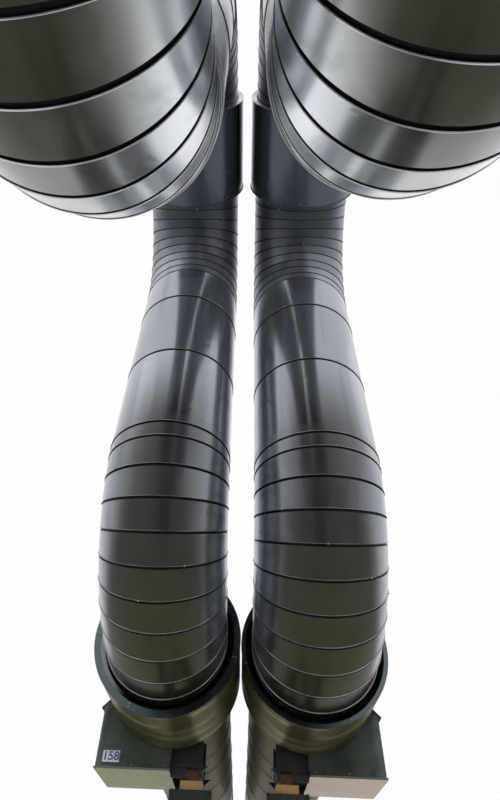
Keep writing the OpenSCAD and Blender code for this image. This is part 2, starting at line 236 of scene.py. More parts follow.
class Field:
    """A socket that can be used in sums: every step adds one node to its tree."""

    def __init__(self, tree, socket):
        self.tree = tree
        self.socket = socket

    def math(self, operation, *others):
        inputs = dict(enumerate((self, *others)))
        node = new_node(self.tree, "ShaderNodeMath", inputs, operation=operation)
        return Field(self.tree, node.outputs[0])

    def __add__(self, other):
        return self.math("ADD", other)

    def __sub__(self, other):
        return self.math("SUBTRACT", other)

    def __rsub__(self, other):
        return self.math("MULTIPLY_ADD", -1.0, other)

    def __mul__(self, other):
        return self.math("MULTIPLY", other)

    def __truediv__(self, other):
        return self.math("DIVIDE", other)

    def __rtruediv__(self, other):
        return self.math("POWER", -1.0) * other

    def cos(self):
        return self.math("COSINE")

    def sin(self):
        return self.math("SINE")

    def size(self):
        return self.math("ABSOLUTE")

    def floor(self):
        return self.math("FLOOR")

    def below(self, other):
        return self.math("LESS_THAN", other)

    def above(self, other):
        return self.math("GREATER_THAN", other)

    def least(self, other):
        return self.math("MINIMUM", other)

    def most(self, other):
        return self.math("MAXIMUM", other)

    def ramp(self, low, high):
        """0 up to low, 1 from high on, and a smooth rise between them."""
        node = new_node(self.tree, "ShaderNodeMapRange", {"Value": self, "From Min": low, "From Max": high},
                        interpolation_type="SMOOTHSTEP")
        return Field(self.tree, node.outputs["Result"])


def vector(tree, x, y, z):
    """The vector with these three parts."""
    return new_node(tree, "ShaderNodeCombineXYZ", {0: x, 1: y, 2: z}).outputs[0]


def part_of(tree, given, axis):
    """One part of a vector: 0 is X, 1 is Y and 2 is Z."""
    return Field(tree, new_node(tree, "ShaderNodeSeparateXYZ", {0: given}).outputs[axis])


def geometry_tree(name, floats=(), integers=(), materials=(), takes_mesh=False):
    """A new geometry node group with named inputs, and its input node."""
    tree = bpy.data.node_groups.new(name, "GeometryNodeTree")
    for kind, labels in (("Geometry", ["Geometry"] * takes_mesh), ("Float", floats), ("Int", integers),
                         ("Material", materials)):
        for label in labels:
            tree.interface.new_socket(label, in_out="INPUT", socket_type="NodeSocket" + kind)
    tree.interface.new_socket("Geometry", in_out="OUTPUT", socket_type="NodeSocketGeometry")
    return tree, tree.nodes.new("NodeGroupInput")


def end_tree(tree, geometry, *materials):
    """Ends a geometry tree in realized instances with their materials set. Each material comes with the
    faces that it goes on, or with nothing for all of them."""
    done = new_node(tree, "GeometryNodeRealizeInstances", {"Geometry": geometry}).outputs[0]
    for material, faces in materials:
        inputs = {"Geometry": done, "Material": material}
        if faces:
            inputs["Selection"] = faces
        done = new_node(tree, "GeometryNodeSetMaterial", inputs).outputs[0]
    new_node(tree, "NodeGroupOutput", {"Geometry": done})


def pick(tree, index, values):
    """The value whose place in the list is index."""
    node = new_node(tree, "GeometryNodeIndexSwitch", data_type="FLOAT")
    while len(node.index_switch_items) < len(values):
        node.index_switch_items.new()
    for slot, value in zip(node.inputs, (index, *values)):
        feed(tree, slot, value)
    return Field(tree, node.outputs[0])


def keep(tree, geometry, **fields):
    """Stores values on a geometry's points, and returns it with the stored fields."""
    node = new_node(tree, "GeometryNodeCaptureAttribute", {"Geometry": geometry})
    for name, field in fields.items():
        node.capture_items.new("FLOAT", name)
        feed(tree, node.inputs[name], field)
    return node.outputs["Geometry"], [Field(tree, node.outputs[name]) for name in fields]


def store(tree, geometry, name, value, kind, domain):
    """Writes a named attribute, and returns the geometry."""
    node = new_node(tree, "GeometryNodeStoreNamedAttribute", {"Geometry": geometry, "Name": name},
                    data_type=kind, domain=domain)
    feed(tree, next(slot for slot in node.inputs if slot.name == "Value" and slot.enabled), value)
    return node.outputs["Geometry"]


def new_object(name, data):
    """An object with the given data, in the scene."""
    made = bpy.data.objects.new(name, data)
    bpy.context.scene.collection.objects.link(made)
    return made


def from_tree(name, tree, values=(), mesh=None):
    """Runs a geometry node group with the given input values and returns a plain mesh object."""
    holder = new_object(name, mesh or bpy.data.meshes.new(name))
    modifier = holder.modifiers.new(name, "NODES")
    modifier.node_group = tree
    for item in tree.interface.items_tree:
        if item.item_type == "SOCKET" and item.in_out == "INPUT" and item.name in dict(values):
            modifier[item.identifier] = dict(values)[item.name]
    graph = bpy.context.evaluated_depsgraph_get()
    made = bpy.data.meshes.new_from_object(holder.evaluated_get(graph), preserve_all_data_layers=True,
                                           depsgraph=graph)
    bpy.data.objects.remove(holder)
    made.name = name
    return new_object(name, made)


# Mesh helpers


def shade(mesh, sharp_degrees=24):
    """Smooth shading that keeps the edges sharper than the given angle."""
    mesh.shade_smooth()
    mesh.set_sharp_from_angle(angle=radians(sharp_degrees))


def put(piece, matrix):
    """Moves a piece's mesh to its place, and keeps its faces outwards where the place is mirrored."""
    piece.data.transform(matrix)
    if matrix.determinant() < 0:
        piece.data.flip_normals()


def mesh_piece(name, vertices, faces, material, uvs=None):
    """A mesh object from points and faces, with an optional list of UV pairs for each face's corners."""
    mesh = bpy.data.meshes.new(name)
    mesh.from_pydata(vertices, [], faces)
    mesh.materials.append(material)
    if uvs:
        layer = mesh.uv_layers.new(name="UVMap")
        layer.data.foreach_set("uv", [value for pair in uvs for value in pair])
    return new_object(name, mesh)


def rings_of(loops, around):
    """Points round +Z: a ring of them for each (radius, height) pair."""
    return [(r * cos(2 * pi * j / around), r * sin(2 * pi * j / around), z)
            for r, z in loops for j in range(around)]


def walls(row, count):
    """Faces between the ring of points that starts at row and the ring after it."""
    return [(row + j, row + (j + 1) % count, row + count + (j + 1) % count, row + count + j)
            for j in range(count)]


def lathe(name, profile, material, around=AROUND, bands=()):
    """Closed solid of revolution about +Z. The profile is a closed loop of (radius, height) points that
    runs outwards along its front end, so that the faces point out. bands are (material, numbers of the
    profile's lines) pairs for lines that have a material of their own."""
    count = len(profile)
    faces, uvs = [], []
    run = 0.0
    for i in range(count):
        (r0, z0), (r1, z1) = profile[i], profile[(i + 1) % count]
        start, run = run, run + hypot(r1 - r0, z1 - z0)
        width = 2 * pi * max(r0, r1) / around
        for j in range(around):
            a, b = i * around + j, i * around + (j + 1) % around
            c, d = (i + 1) % count * around + (j + 1) % around, (i + 1) % count * around + j
            faces.append((a, b, c, d))
            uvs += [(j * width, start), ((j + 1) * width, start), ((j + 1) * width, run), (j * width, run)]
    piece = mesh_piece(name, rings_of(profile, around), faces, material, uvs)
    for number, (other, lines) in enumerate(bands, 1):
        piece.data.materials.append(other)
        for line in lines:
            for face in piece.data.polygons[line * around:(line + 1) * around]:
                face.material_index = number
    shade(piece.data)
    return piece


def joined(name, pieces):
    """One object from several, with its materials merged."""
    box = bmesh.new()
    materials = []
    for piece in pieces:
        start = len(box.faces)
        box.from_mesh(piece.data)
        box.faces.ensure_lookup_table()
        own = list(piece.data.materials)
        for material in own:
            if material not in materials:
                materials.append(material)
        for face in box.faces[start:]:
            face.material_index = materials.index(own[face.material_index])
    mesh = bpy.data.meshes.new(name)
    box.to_mesh(mesh)
    box.free()
    for material in materials:
        mesh.materials.append(material)
    for piece in pieces:
        bpy.data.objects.remove(piece)
    return new_object(name, mesh)


def finish(piece, slot, *nodes):
    """Ties a piece to the object and hides the nodes that it stands for. slot, the name of its finish, is
    not used.
    """
    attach(piece, "root")
    if nodes:
        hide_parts(*nodes)


def repaint(node, material):
    """Gives a node of the frame its finish."""
    slots = frame["nodes"][node].data.materials
    slots.clear()
    slots.append(material)


def pipe_ends():
    """Each pipe with each of its ends, and the numbers of both."""
    for s, pipe in enumerate(PIPES.values()):
        for e, end in enumerate(ENDS):
            yield s, pipe, e, end


# Shared shader effects


def effect(name, **inputs):
    """A new shader node group: its tree, its vector input, and a field for each of its other inputs."""
    tree = bpy.data.node_groups.new(name, "ShaderNodeTree")
    tree.interface.new_socket("Vector", in_out="INPUT", socket_type="NodeSocketVector")
    for label, value in inputs.items():
        socket = tree.interface.new_socket(label, in_out="INPUT", socket_type="NodeSocketFloat")
        socket.default_value = value
    given = tree.nodes.new("NodeGroupInput")
    return tree, given.outputs["Vector"], *(Field(tree, given.outputs[label]) for label in inputs)


def end_effect(tree, **fields):
    """Ends a shader node group with an output for each field."""
    for label in fields:
        tree.interface.new_socket(label, in_out="OUTPUT", socket_type="NodeSocketFloat")
    new_node(tree, "NodeGroupOutput", fields)
    return tree


def facing(tree, axis):
    """How much the surface faces along an axis, from -1 to 1."""
    return part_of(tree, tree.nodes.new("ShaderNodeNewGeometry").outputs["Normal"], axis)


def noise(tree, at, scale, detail=2.0, stretch=(1, 1, 1)):
    """Noise between 0 and 1 at a place, stretched along its axes."""
    mapping = new_node(tree, "ShaderNodeMapping", {"Vector": at, "Scale": stretch}).outputs[0]
    node = new_node(tree, "ShaderNodeTexNoise", {"Vector": mapping, "Scale": scale, "Detail": detail})
    return Field(tree, node.outputs[0])


def oil_canning():
    """Slow waves and small dents of thin sheet, as a height."""
    tree, at, waves, dents = effect("Oil canning", Waves=1.0, Dents=1.0)
    return end_effect(tree, Height=noise(tree, at, 1.6, 1.0) * waves
                      - noise(tree, at, 7.0, 2.0).ramp(0.62, 0.8) * dents)


def brushing():
    """Fine lines, and broad streaks of painted sheen, that run across the vector's second axis, as values
    around 0.5.
    """
    tree, at = effect("Brushing")
    return end_effect(tree, Lines=noise(tree, at, 60.0, 3.0, (0.02, 1.0, 0.0)),
                      Smears=noise(tree, at, 5.0, 3.0, (0.35, 1.0, 0.0)))


def weather():
    """Dust on what faces up, vertical streaks, and grime in patches, as masks."""
    tree, at = effect("Weather")
    return end_effect(tree, Dust=facing(tree, 2).ramp(0.2, 1.0) * noise(tree, at, 9.0, 5.0).ramp(0.25, 0.7),
                      Streaks=noise(tree, at, 9.0, 4.0, (1, 1, 0.07)).ramp(0.5, 0.72),
                      Grime=noise(tree, at, 3.0, 6.0).ramp(0.5, 0.75))


# The span below Foot over which the painted shade and ground reflection on upright sheets fade out
FOOT_FADE = 1.1


def underside():
    """Painted shade and painted reflection of the ground on sheets that face down, as masks. The height of
    the normal, counted less where the sheet faces sideways too, sets the first mask: it is 1 below Dark and
    0 above the upper limit. Below the height Foot it also creeps up sheets that stand upright. The second
    mask is 1 on what faces straight down, and Below on all that faces down."""
    tree, at, dark, unshaded, sideways, foot = effect("Underside", Dark=-0.4, Clean=0.0, Sideways=0.0,
                                                   Foot=0.0)
    height, aside = facing(tree, 2), facing(tree, 0)
    across = aside * aside * sideways
    patch = (noise(tree, at, 2.0, 3.0) - 0.5) * height * -0.2
    bare = (height * (1 - across) + patch).ramp(dark, unshaded)
    near_foot = 1 - part_of(tree, at, 2).ramp(foot - FOOT_FADE, foot)
    # Painted shade and painted reflection of the ground: where they lie
    film = (1 - bare).most(near_foot * (1 - across * 1.3) * height.below(0.3))
    return end_effect(tree, Film=film, Algae=(height * -1 + patch).ramp(0.45, 0.9),
                      Below=1 - height.ramp(-0.35, 0.0))


EFFECTS = {}


def use(tree, make, at, **values):
    """Places a shared effect in a material, made the first time that it is asked for."""
    if make.__name__ not in EFFECTS:
        EFFECTS[make.__name__] = make()
    node = new_node(tree, "ShaderNodeGroup", node_tree=EFFECTS[make.__name__])
    for name, value in {"Vector": at, **values}.items():
        feed(tree, node.inputs[name], value)
    return {socket.name: Field(tree, socket) for socket in node.outputs}


# Materials


def tint_of(name):
    """A colour of the finishes."""
    return tuple(getattr(bpy.context.scene.bridge_colours, name))


def new_material(name, **settings):
    """A node material with constants on its shader: returns it, its tree, its shader and a place on it."""
    material = bpy.data.materials.new(name)
    material.use_nodes = True
    tree = material.node_tree
    shader = tree.nodes["Principled BSDF"]
    for label, value in settings.items():
        shader.inputs[label.replace("_", " ")].default_value = value
    return material, tree, shader, tree.nodes.new("ShaderNodeTexCoord").outputs["Object"]


def mixed(tree, factor, first, second):
    """Colour that goes from first to second with the factor."""
    node = new_node(tree, "ShaderNodeMix", data_type="RGBA")
    for number, value in ((0, factor), (6, first), (7, second)):
        feed(tree, node.inputs[number], (*value, 1.0) if isinstance(value, tuple) else value)
    return node.outputs[2]


def shaded(value, tint):
    """A colour made lighter or darker."""
    return tuple(min(1.0, channel * value) for channel in tint)


def coated(tree, shader, base, rough):
    """Gives a shader its colour and its roughness."""
    feed(tree, shader.inputs["Base Color"], base)
    feed(tree, shader.inputs["Roughness"], rough)


def bumped(tree, shader, height, strength, distance):
    """Gives a shader fine relief, whose distance is in metres."""
    bump = new_node(tree, "ShaderNodeBump", {"Height": height, "Strength": strength, "Distance": distance})
    feed(tree, shader.inputs["Normal"], bump.outputs[0])


# Painted shadow: the band of the UV map beside a lengthwise lap that is painted BLACK, in metres
LAP_LINE = (0.001, 0.004)
BLACK = (0.004, 0.004, 0.004)


def sheet_material(name, tint, painted_reflection, film, algae, limits, roughness, brushed=0.12, edge=1.0):
    """Bright sheet metal around a pipe, with painted shade and painted reflection of the ground on its
    underside: a tone for each sheet, brushing along the UV map with broad streaks of painted sheen, a
    painted shadow line along its lengthwise lap, dents and weather. The tint of what faces down is a
    painted reflection, and edge the brightness of its reflection at a glance."""
    material, tree, shader, spot = new_material(name, Metallic=0.8, Specular_Tint=(edge, edge, edge, 1.0))
    around = spot.node.outputs["UV"]
    tone = Field(tree, new_node(tree, "ShaderNodeAttribute", attribute_name="tone").outputs["Fac"])
    brush = use(tree, brushing, around)
    grime = use(tree, weather, spot)
    waves = use(tree, oil_canning, spot, Waves=1.0, Dents=0.35)
    under = use(tree, underside, spot, **limits)
    upper = mixed(tree, tone, shaded(0.88, tint), shaded(1.12, tint))
    # Painted reflection: the lower tint goes on what faces down
    lower = mixed(tree, tone, shaded(0.88, painted_reflection), shaded(1.12, painted_reflection))
    base = mixed(tree, under["Below"], upper, lower)
    # Painted shade and painted ground reflection on what faces down, with a colour of its own where it
    # faces straight down
    base = mixed(tree, under["Film"], base, mixed(tree, under["Algae"], film, algae))
    # Painted sheen: broad bright streaks along the brushing
    sheen = mixed(tree, under["Below"], upper, shaded(1.2, painted_reflection))
    base = mixed(tree, brush["Smears"].ramp(0.45, 0.7) * brushed * brushed, base, sheen)
    base = mixed(tree, grime["Streaks"] * 0.2, base, shaded(0.4, film))
    base = mixed(tree, grime["Dust"] * 0.5, base, tint_of("dust"))
    # Painted shadow: a thin black line along the lengthwise lap's step
    base = mixed(tree, part_of(tree, around, 0).ramp(*LAP_LINE), BLACK, base)
    coated(tree, shader, base, brush["Lines"] * (0.12 * brushed) + grime["Grime"] * 0.06
           + grime["Dust"] * 0.3 + (roughness - 0.02))
    bumped(tree, shader, waves["Height"], 1.0, 0.0025)
    return material


# By stretch of a pipe: tone of the painted reflection on the sheets that face down, the colour of the
# painted shade and ground reflection on them, the same where they face straight down, their roughness, the
# brightness of their reflection at a glance, and their beads' tone, set lighter or darker by stretch as
# painted light
FINISH = {"riser": (1.0, "underside", "algae", 0.18, 1.0, 0.55),
          "near riser": (1.0, "underside", "algae", 0.18, 1.0, 0.55),
          "low bend": (1.0, "underside", "algae", 0.24, 1.0, 0.5),
          "near bend": (2.25, "olive", "olive", 0.22, 1.0, 1.25),
          "high bend": (0.75, "soot", "soot", 0.36, 0.9, 0.4),
          "low run": (0.6, "mud", "mud", 0.32, 0.3, 0.3)}

# The limits of that painted shade and ground reflection, as inputs of the shared effect
REFLECTION_LIMITS = {"riser": {"Dark": -1.2, "Clean": -0.6, "Sideways": 0.9, "Foot": 5.35},
        "near riser": {"Dark": -1.2, "Clean": -0.6, "Sideways": 0.9, "Foot": 0.0},
        "low bend": {"Dark": -0.42, "Clean": -0.02, "Sideways": 0.9, "Foot": 5.3},
        "near bend": {"Dark": -0.84, "Clean": -0.42, "Sideways": 0.0, "Foot": 0.0},
        "high bend": {"Dark": -0.9, "Clean": -0.1, "Sideways": 0.0, "Foot": 0.0},
        "low run": {"Dark": -0.4, "Clean": 0.6, "Sideways": 0.0, "Foot": 0.0},
        "barrel": {"Dark": -0.3, "Clean": 0.5, "Sideways": 0.0, "Foot": 0.0},
        "crown": {"Dark": -1.0, "Clean": 0.0, "Sideways": 0.0, "Foot": 0.0}}


def cladding_sheet(stretch):
    """Sheet of one stretch of a pipe."""
    tone, film, algae, roughness, edge, _ = FINISH[stretch]
    tint = tint_of("cladding")
    return sheet_material(f"{stretch} sheet", tint, shaded(tone, tint), tint_of(film), tint_of(algae),
                          REFLECTION_LIMITS[stretch], roughness, edge=edge)


def barrel_sheet():
    """Sheet of an end sleeve, with a brassy painted reflection of the ground where it faces down."""
    tint = tint_of("barrel")
    return sheet_material("barrel sheet", tint_of("cladding"), shaded(2.2, tint), shaded(0.85, tint), tint,
                          REFLECTION_LIMITS["barrel"], 0.24, 1.0, 0.3)


def crown_sheet():
    """Sheet of a crown sleeve, slate blue all round."""
    tint = tint_of("slate")
    return sheet_material("crown sheet", tint, tint, tint, tint, REFLECTION_LIMITS["crown"], 0.25)


DULL_EDGE, BRIGHT_EDGE = (0.42, 0.43, 0.44), (0.76, 0.77, 0.79)


def rolled_edge(tone=1.0):
    """Bare metal of the beads, rubbed bright; tone makes it lighter or darker by stretch, as painted light
    and shade.
    """
    material, tree, shader, spot = new_material(f"rolled edge {tone}", Metallic=0.9)
    base = mixed(tree, noise(tree, spot, 6.0, 4.0).ramp(0.3, 0.7), shaded(tone, DULL_EDGE),
                 shaded(tone, BRIGHT_EDGE))
    coated(tree, shader, base, noise(tree, spot, 50.0, 2.0) * 0.2 + 0.25)
    return material


def ring_sheet():
    """Sheet of a front ring, with painted shade that darkens it towards the other pipe."""
    tint = tint_of("ring")
    material, tree, shader, spot = new_material("ring sheet", Metallic=0.9)
    grime = use(tree, weather, spot)
    waves = use(tree, oil_canning, spot, Waves=1.0, Dents=0.2)
    # Painted shade: the ring darkens towards the middle between the pipes
    unshaded = (part_of(tree, spot, 0).size() + noise(tree, spot, 3.0, 4.0) * 0.3 - 0.15).ramp(0.4, 1.2)
    base = mixed(tree, unshaded, shaded(0.12, tint), tint)
    base = mixed(tree, grime["Streaks"] * 0.3, base, shaded(0.5, tint))
    coated(tree, shader, base, noise(tree, spot, 30.0, 3.0) * 0.12 + 0.14)
    bumped(tree, shader, waves["Height"], 1.0, 0.002)
    return material


def lip_sheet():
    """Painted shadow on a ring's lip: black, with a painted white reflection towards -X."""
    material, tree, shader, spot = new_material("lip sheet", Metallic=0.0)
    aside = part_of(tree, spot, 0) * -1
    # Painted reflection: a white crescent towards -X on the black lip
    painted_reflection = (aside + noise(tree, spot, 5.0, 4.0) * 0.06 - 0.03).ramp(0.88, 1.0)
    base = mixed(tree, painted_reflection, (0.004, 0.004, 0.005), (0.92, 0.93, 0.95))
    coated(tree, shader, base, noise(tree, spot, 60.0, 2.0) * 0.2 + 0.3)
    return material


def housing_sheet(film, tone):
    """Flat coated sheet, with streaks and dust, and a pale painted reflection of the ground on its
    underside.
    """
    tint = shaded(tone, tint_of("housing"))
    material, tree, shader, spot = new_material(f"housing sheet {film}", Metallic=0.3,
                                                Specular_IOR_Level=0.12)
    grime = use(tree, weather, spot)
    waves = use(tree, oil_canning, spot, Waves=1.0, Dents=0.2)
    under = use(tree, underside, spot, Dark=-0.9, Clean=-0.7, Foot=-1.0)
    base = mixed(tree, noise(tree, spot, 4.0, 4.0).ramp(0.3, 0.7), shaded(0.8, tint), shaded(1.2, tint))
    base = mixed(tree, grime["Streaks"] * 0.35, base, shaded(1.5, tint))
    # Painted reflection of the ground on the underside
    base = mixed(tree, under["Film"], base, tint_of(film))
    base = mixed(tree, grime["Dust"] * 0.5, base, tint_of("dust"))
    coated(tree, shader, base, noise(tree, spot, 30.0, 3.0) * 0.15 + grime["Dust"] * 0.3 + 0.16)
    bumped(tree, shader, waves["Height"], 1.0, 0.002)
    return material


def sealant():
    """Black sealing band in the grooves between the sheets."""
    material, tree, shader, spot = new_material("sealant", Specular_IOR_Level=0.15)
    base = mixed(tree, noise(tree, spot, 25.0, 4.0), (0.002, 0.002, 0.002), (0.008, 0.008, 0.008))
    coated(tree, shader, base, noise(tree, spot, 60.0, 2.0) * 0.3 + 0.35)
    return material


def black_steel():
    """Thick black paint on rolled steel, with dust and a little rust coming through."""
    return painted_steel("black steel", 0.06)


def painted_steel(name, rust_amount, rocker=None):
    """Black paint on steel. rocker is (nearest, furthest, top): what lies below that top and between those
    distances along the pipes is rusty all over."""
    material, tree, shader, spot = new_material(name, Metallic=0.0)
    grime = use(tree, weather, spot)
    rusty = noise(tree, spot, 14.0, 8.0).ramp(0.78 - rust_amount, 0.84 - rust_amount)
    if rocker:
        nearest, furthest, top = rocker
        out = part_of(tree, spot, 1).size()
        rusty = rusty.most(out.above(nearest) * out.below(furthest) * part_of(tree, spot, 2).below(top))
    tint, rust = tint_of("steel"), tint_of("rust")
    base = mixed(tree, noise(tree, spot, 5.0, 4.0), shaded(0.7, tint), shaded(1.6, tint))
    rust_tone = mixed(tree, noise(tree, spot, 22.0, 6.0), shaded(0.5, rust), shaded(1.5, rust))
    base = mixed(tree, rusty, base, rust_tone)
    base = mixed(tree, grime["Dust"] * 0.45, base, tint_of("dust"))
    coated(tree, shader, base, rusty * 0.4 + noise(tree, spot, 40.0, 3.0) * 0.2 + 0.3)
    bumped(tree, shader, noise(tree, spot, 90.0, 4.0) + rusty * 0.6, 0.5, 0.0015)
    return material


def rusty_pipe():
    """Bare carrier pipe with an even film of rust."""
    rust = tint_of("rust")
    material, tree, shader, spot = new_material("rusty pipe", Metallic=0.2)
    grime = use(tree, weather, spot)
    base = mixed(tree, noise(tree, spot, 12.0, 8.0), shaded(0.45, rust), shaded(1.6, rust))
    base = mixed(tree, noise(tree, spot, 3.0, 3.0).ramp(0.55, 0.7), base, (0.05, 0.05, 0.06))
    base = mixed(tree, grime["Streaks"] * 0.4, base, shaded(2.2, rust))
    coated(tree, shader, base, noise(tree, spot, 50.0, 4.0) * 0.25 + 0.55)
    bumped(tree, shader, noise(tree, spot, 70.0, 6.0), 0.6, 0.001)
    return material


def bearing_block():
    """Tan laminated block with darker patches."""
    tint = tint_of("bearing")
    material, tree, shader, spot = new_material("bearing block")
    inputs = {"Vector": spot, "Scale": 22.0, "Distortion": 1.2, "Detail": 3.0}
    wave = new_node(tree, "ShaderNodeTexWave", inputs, bands_direction="Z")
    layers = Field(tree, wave.outputs["Fac"])
    grime = use(tree, weather, spot)
    base = mixed(tree, layers, shaded(0.72, tint), shaded(1.12, tint))
    base = mixed(tree, noise(tree, spot, 10.0, 6.0).ramp(0.55, 0.75), base, (0.50, 0.20, 0.05))
    base = mixed(tree, grime["Grime"] * 0.35, base, shaded(0.35, tint))
    coated(tree, shader, base, noise(tree, spot, 30.0, 3.0) * 0.25 + 0.5)
    bumped(tree, shader, layers, 0.4, 0.001)
    return material


def zinc():
    """Dull zinc of screws, rivets and nuts."""
    material, tree, shader, spot = new_material("zinc", Metallic=0.9)
    base = mixed(tree, noise(tree, spot, 40.0, 3.0), (0.32, 0.33, 0.32), (0.62, 0.63, 0.60))
    coated(tree, shader, base, noise(tree, spot, 90.0, 2.0) * 0.2 + 0.28)
    return material


def enamel(name, tint):
    """Enamel of the number plate, with a little dirt."""
    material, tree, shader, spot = new_material(name, Coat_Weight=0.3)
    base = mixed(tree, noise(tree, spot, 30.0, 6.0).ramp(0.5, 0.85) * 0.5, tint, (0.2, 0.19, 0.16))
    coated(tree, shader, base, noise(tree, spot, 60.0, 2.0) * 0.2 + 0.25)
    return material


MATERIALS = {}


def material_of(make, *settings):
    """A material, made the first time that it is asked for."""
    key = (make.__name__, *settings)
    if key not in MATERIALS:
        MATERIALS[key] = make(*settings)
    return MATERIALS[key]


# Sheet cladding

# Rings of points along a sheet, the length of a bead's foot, and the share of a bead that is its edge
STATIONS, BEAD_FOOT, BEAD_EDGE = 8, 0.003, 0.3

# Where the lengthwise laps of the straight sheets lie, and how far they wander from sheet to sheet
RISER_LAP, RUN_LAP, LAP_WANDER = radians(78), radians(60), radians(4)

# How close points are merged, a right angle, and how far a housing's roof stands over its walls
MERGE, QUARTER, EAVES = 0.00005, radians(90), 0.024


def sheet_tree(bent):
    """Cover of lapped sheets around a pipe, straight along +Z or bent from -Y to -Z about X.

    Each sheet has eight rings of points: two in the groove where it comes out from under the sheet
    before it, its body, and the bead along its rim. A closing ring at each end shuts the cover. Sheets,
    rings and columns are counted from 0, and a face counts as halfway between its own."""
    tree, given = geometry_tree(
        "Bent sheets" if bent else "Straight sheets",
        ("Radius", "Bend Radius", "Total", "First", "Pitch", "Least", "Most", "Bead Height", "Bead Length",
         "Groove Depth", "Groove Length", "Lap Angle", "Lap Height", "End Rim", "Seed"),
        ("Sheets", "Around"), ("Material", "Bead Material"))

    def value(name):
        """One of the inputs."""
        return Field(tree, given.outputs[name])

    radius, total, sheets, around = value("Radius"), value("Total"), value("Sheets"), value("Around")
    grid = new_node(tree, "GeometryNodeMeshGrid",
                    {"Size X": 1.0, "Size Y": 1.0, "Vertices X": sheets * STATIONS + 2,
                     "Vertices Y": around + 2})
    index = Field(tree, tree.nodes.new("GeometryNodeInputIndex").outputs[0])
    ring_now = (index / (around + 2) + 0.0001).floor()
    column_now = index - ring_now * (around + 2)
    mesh, (ring, column) = keep(tree, grid.outputs["Mesh"], Ring=ring_now, Column=column_now)

    row = (ring - 1).most(0.0).least(sheets * STATIONS - 1)
    sheet = (row / STATIONS + 0.001).floor()
    station = row - sheet * STATIONS + 0.001
    later = sheet.above(0.5)
    rimmed = sheet.below(sheets - 1.5).most(value("End Rim"))

    def seam(number):
        """Where a sheet starts: in metres along a straight cover, or as an angle of a bent one."""
        between = (value("First") + (number - 1) * value("Pitch")).most(value("Least")).least(value("Most"))
        last = number.above(sheets - 0.5)
        return between * number.above(0.5) * (1 - last) + total * last

    # What one metre along the outside of the cover is in those units
    step = 1 / (value("Bend Radius") + radius) if bent else 1.0
    groove = value("Groove Length") * later * step
    bead = value("Bead Length") * rimmed * step
    start, end = seam(sheet), seam(sheet + 1)
    place = pick(tree, station, [
        start, start + groove, start + groove, end - bead - rimmed * step * BEAD_FOOT,
        end - bead, end - bead * (1 - BEAD_EDGE), end - bead * BEAD_EDGE, end])
    depth = value("Groove Depth") * later * -1
    height = value("Bead Height") * rimmed
    level = pick(tree, station, [depth, depth, 0.0, 0.0, 0.0, height, height, height * BEAD_EDGE])

    dice = new_node(tree, "ShaderNodeTexWhiteNoise", {"W": sheet * 7.13 + value("Seed")},
                    noise_dimensions="1D")
    chance = Field(tree, dice.outputs["Value"])
    turn = column.least(around) / around * (2 * pi)
    alpha = value("Lap Angle") + (chance - 0.5) * LAP_WANDER + turn
    lap = turn / (2 * pi) * value("Lap Height") * column.below(around + 0.5) * station.above(1.5)
    closing = ring.below(0.5).most(ring.above(sheets * STATIONS + 0.5))
    r = (radius + level + lap) * (1 - closing)
    if bent:
        middle = (start + end) * 0.5
        reach = (value("Bend Radius") + r * alpha.sin()) / (place - middle).cos()
        at = vector(tree, r * alpha.cos(), reach * place.cos() * -1, reach * place.sin() * -1)
        metres = place * value("Bend Radius")
    else:
        at = vector(tree, r * alpha.cos(), r * alpha.sin(), place)
        metres = place
    mesh = new_node(tree, "GeometryNodeSetPosition", {"Geometry": mesh, "Position": at}).outputs[0]
    mesh = store(tree, mesh, "UVMap", vector(tree, turn * radius, metres, 0.0), "FLOAT2", "CORNER")
    mesh = store(tree, mesh, "tone", chance, "FLOAT", "FACE")
    in_groove = (station.below(1.5) * later).most(station.above(7.25)) * (1 - closing)
    in_groove = in_groove.most(column.above(around + 0.25))
    on_bead = station.above(4.25) * station.below(7.25) * rimmed
    mesh = new_node(tree, "GeometryNodeMergeByDistance", {"Geometry": mesh, "Distance": MERGE}).outputs[0]
    mesh = new_node(tree, "GeometryNodeFlipFaces", {"Mesh": mesh}).outputs[0]
    end_tree(tree, mesh, (given.outputs["Material"], None), (material_of(sealant), in_groove.above(0.25)),
             (given.outputs["Bead Material"], on_bead.above(0.5)))
    return tree


TREES = {}


def tree_of(make, *settings):
    """A geometry tree, made the first time that it is asked for."""
    key = (make.__name__, *settings)
    if key not in TREES:
        TREES[key] = make(*settings)
    return TREES[key]


def cover(name, stretch, place, pipe, bent, total, seams, lap_angle, seed, end_rim=False):
    """A cover of lapped sheets in its place, finished as its stretch of the pipe is. seams are (first,
    pitch, least, most, count)."""
    sizes = bpy.context.scene.bridge_sheets
    first, pitch, least, most, count = seams
    piece = from_tree(name, tree_of(sheet_tree, bent), {
        "Radius": pipe.radius, "Bend Radius": pipe.bend_radius, "Total": total, "First": first,
        "Pitch": pitch, "Least": least, "Most": most, "Bead Height": sizes.rim_height,
        "Bead Length": sizes.bead_length, "Groove Depth": sizes.groove_depth,
        "Groove Length": sizes.groove_length, "Lap Angle": lap_angle, "Lap Height": sizes.lap_height,
        "End Rim": float(end_rim), "Seed": seed, "Sheets": count + 1, "Around": sizes.around,
        "Material": material_of(cladding_sheet, stretch),
        "Bead Material": material_of(rolled_edge, FINISH[stretch][-1])})
    put(piece, place)
    shade(piece.data, 65)
    return piece


def lower_seams(sizes):
    """First seam, pitch, least and most of a lower bend, with the number of its seams."""
    first = sizes.cuff_start + sizes.cuff - sizes.gore
    count = ceil((QUARTER - sizes.gore / 3 - sizes.cuff_start - sizes.cuff) / sizes.gore) + 1
    return first, sizes.gore, sizes.cuff_start, QUARTER, count


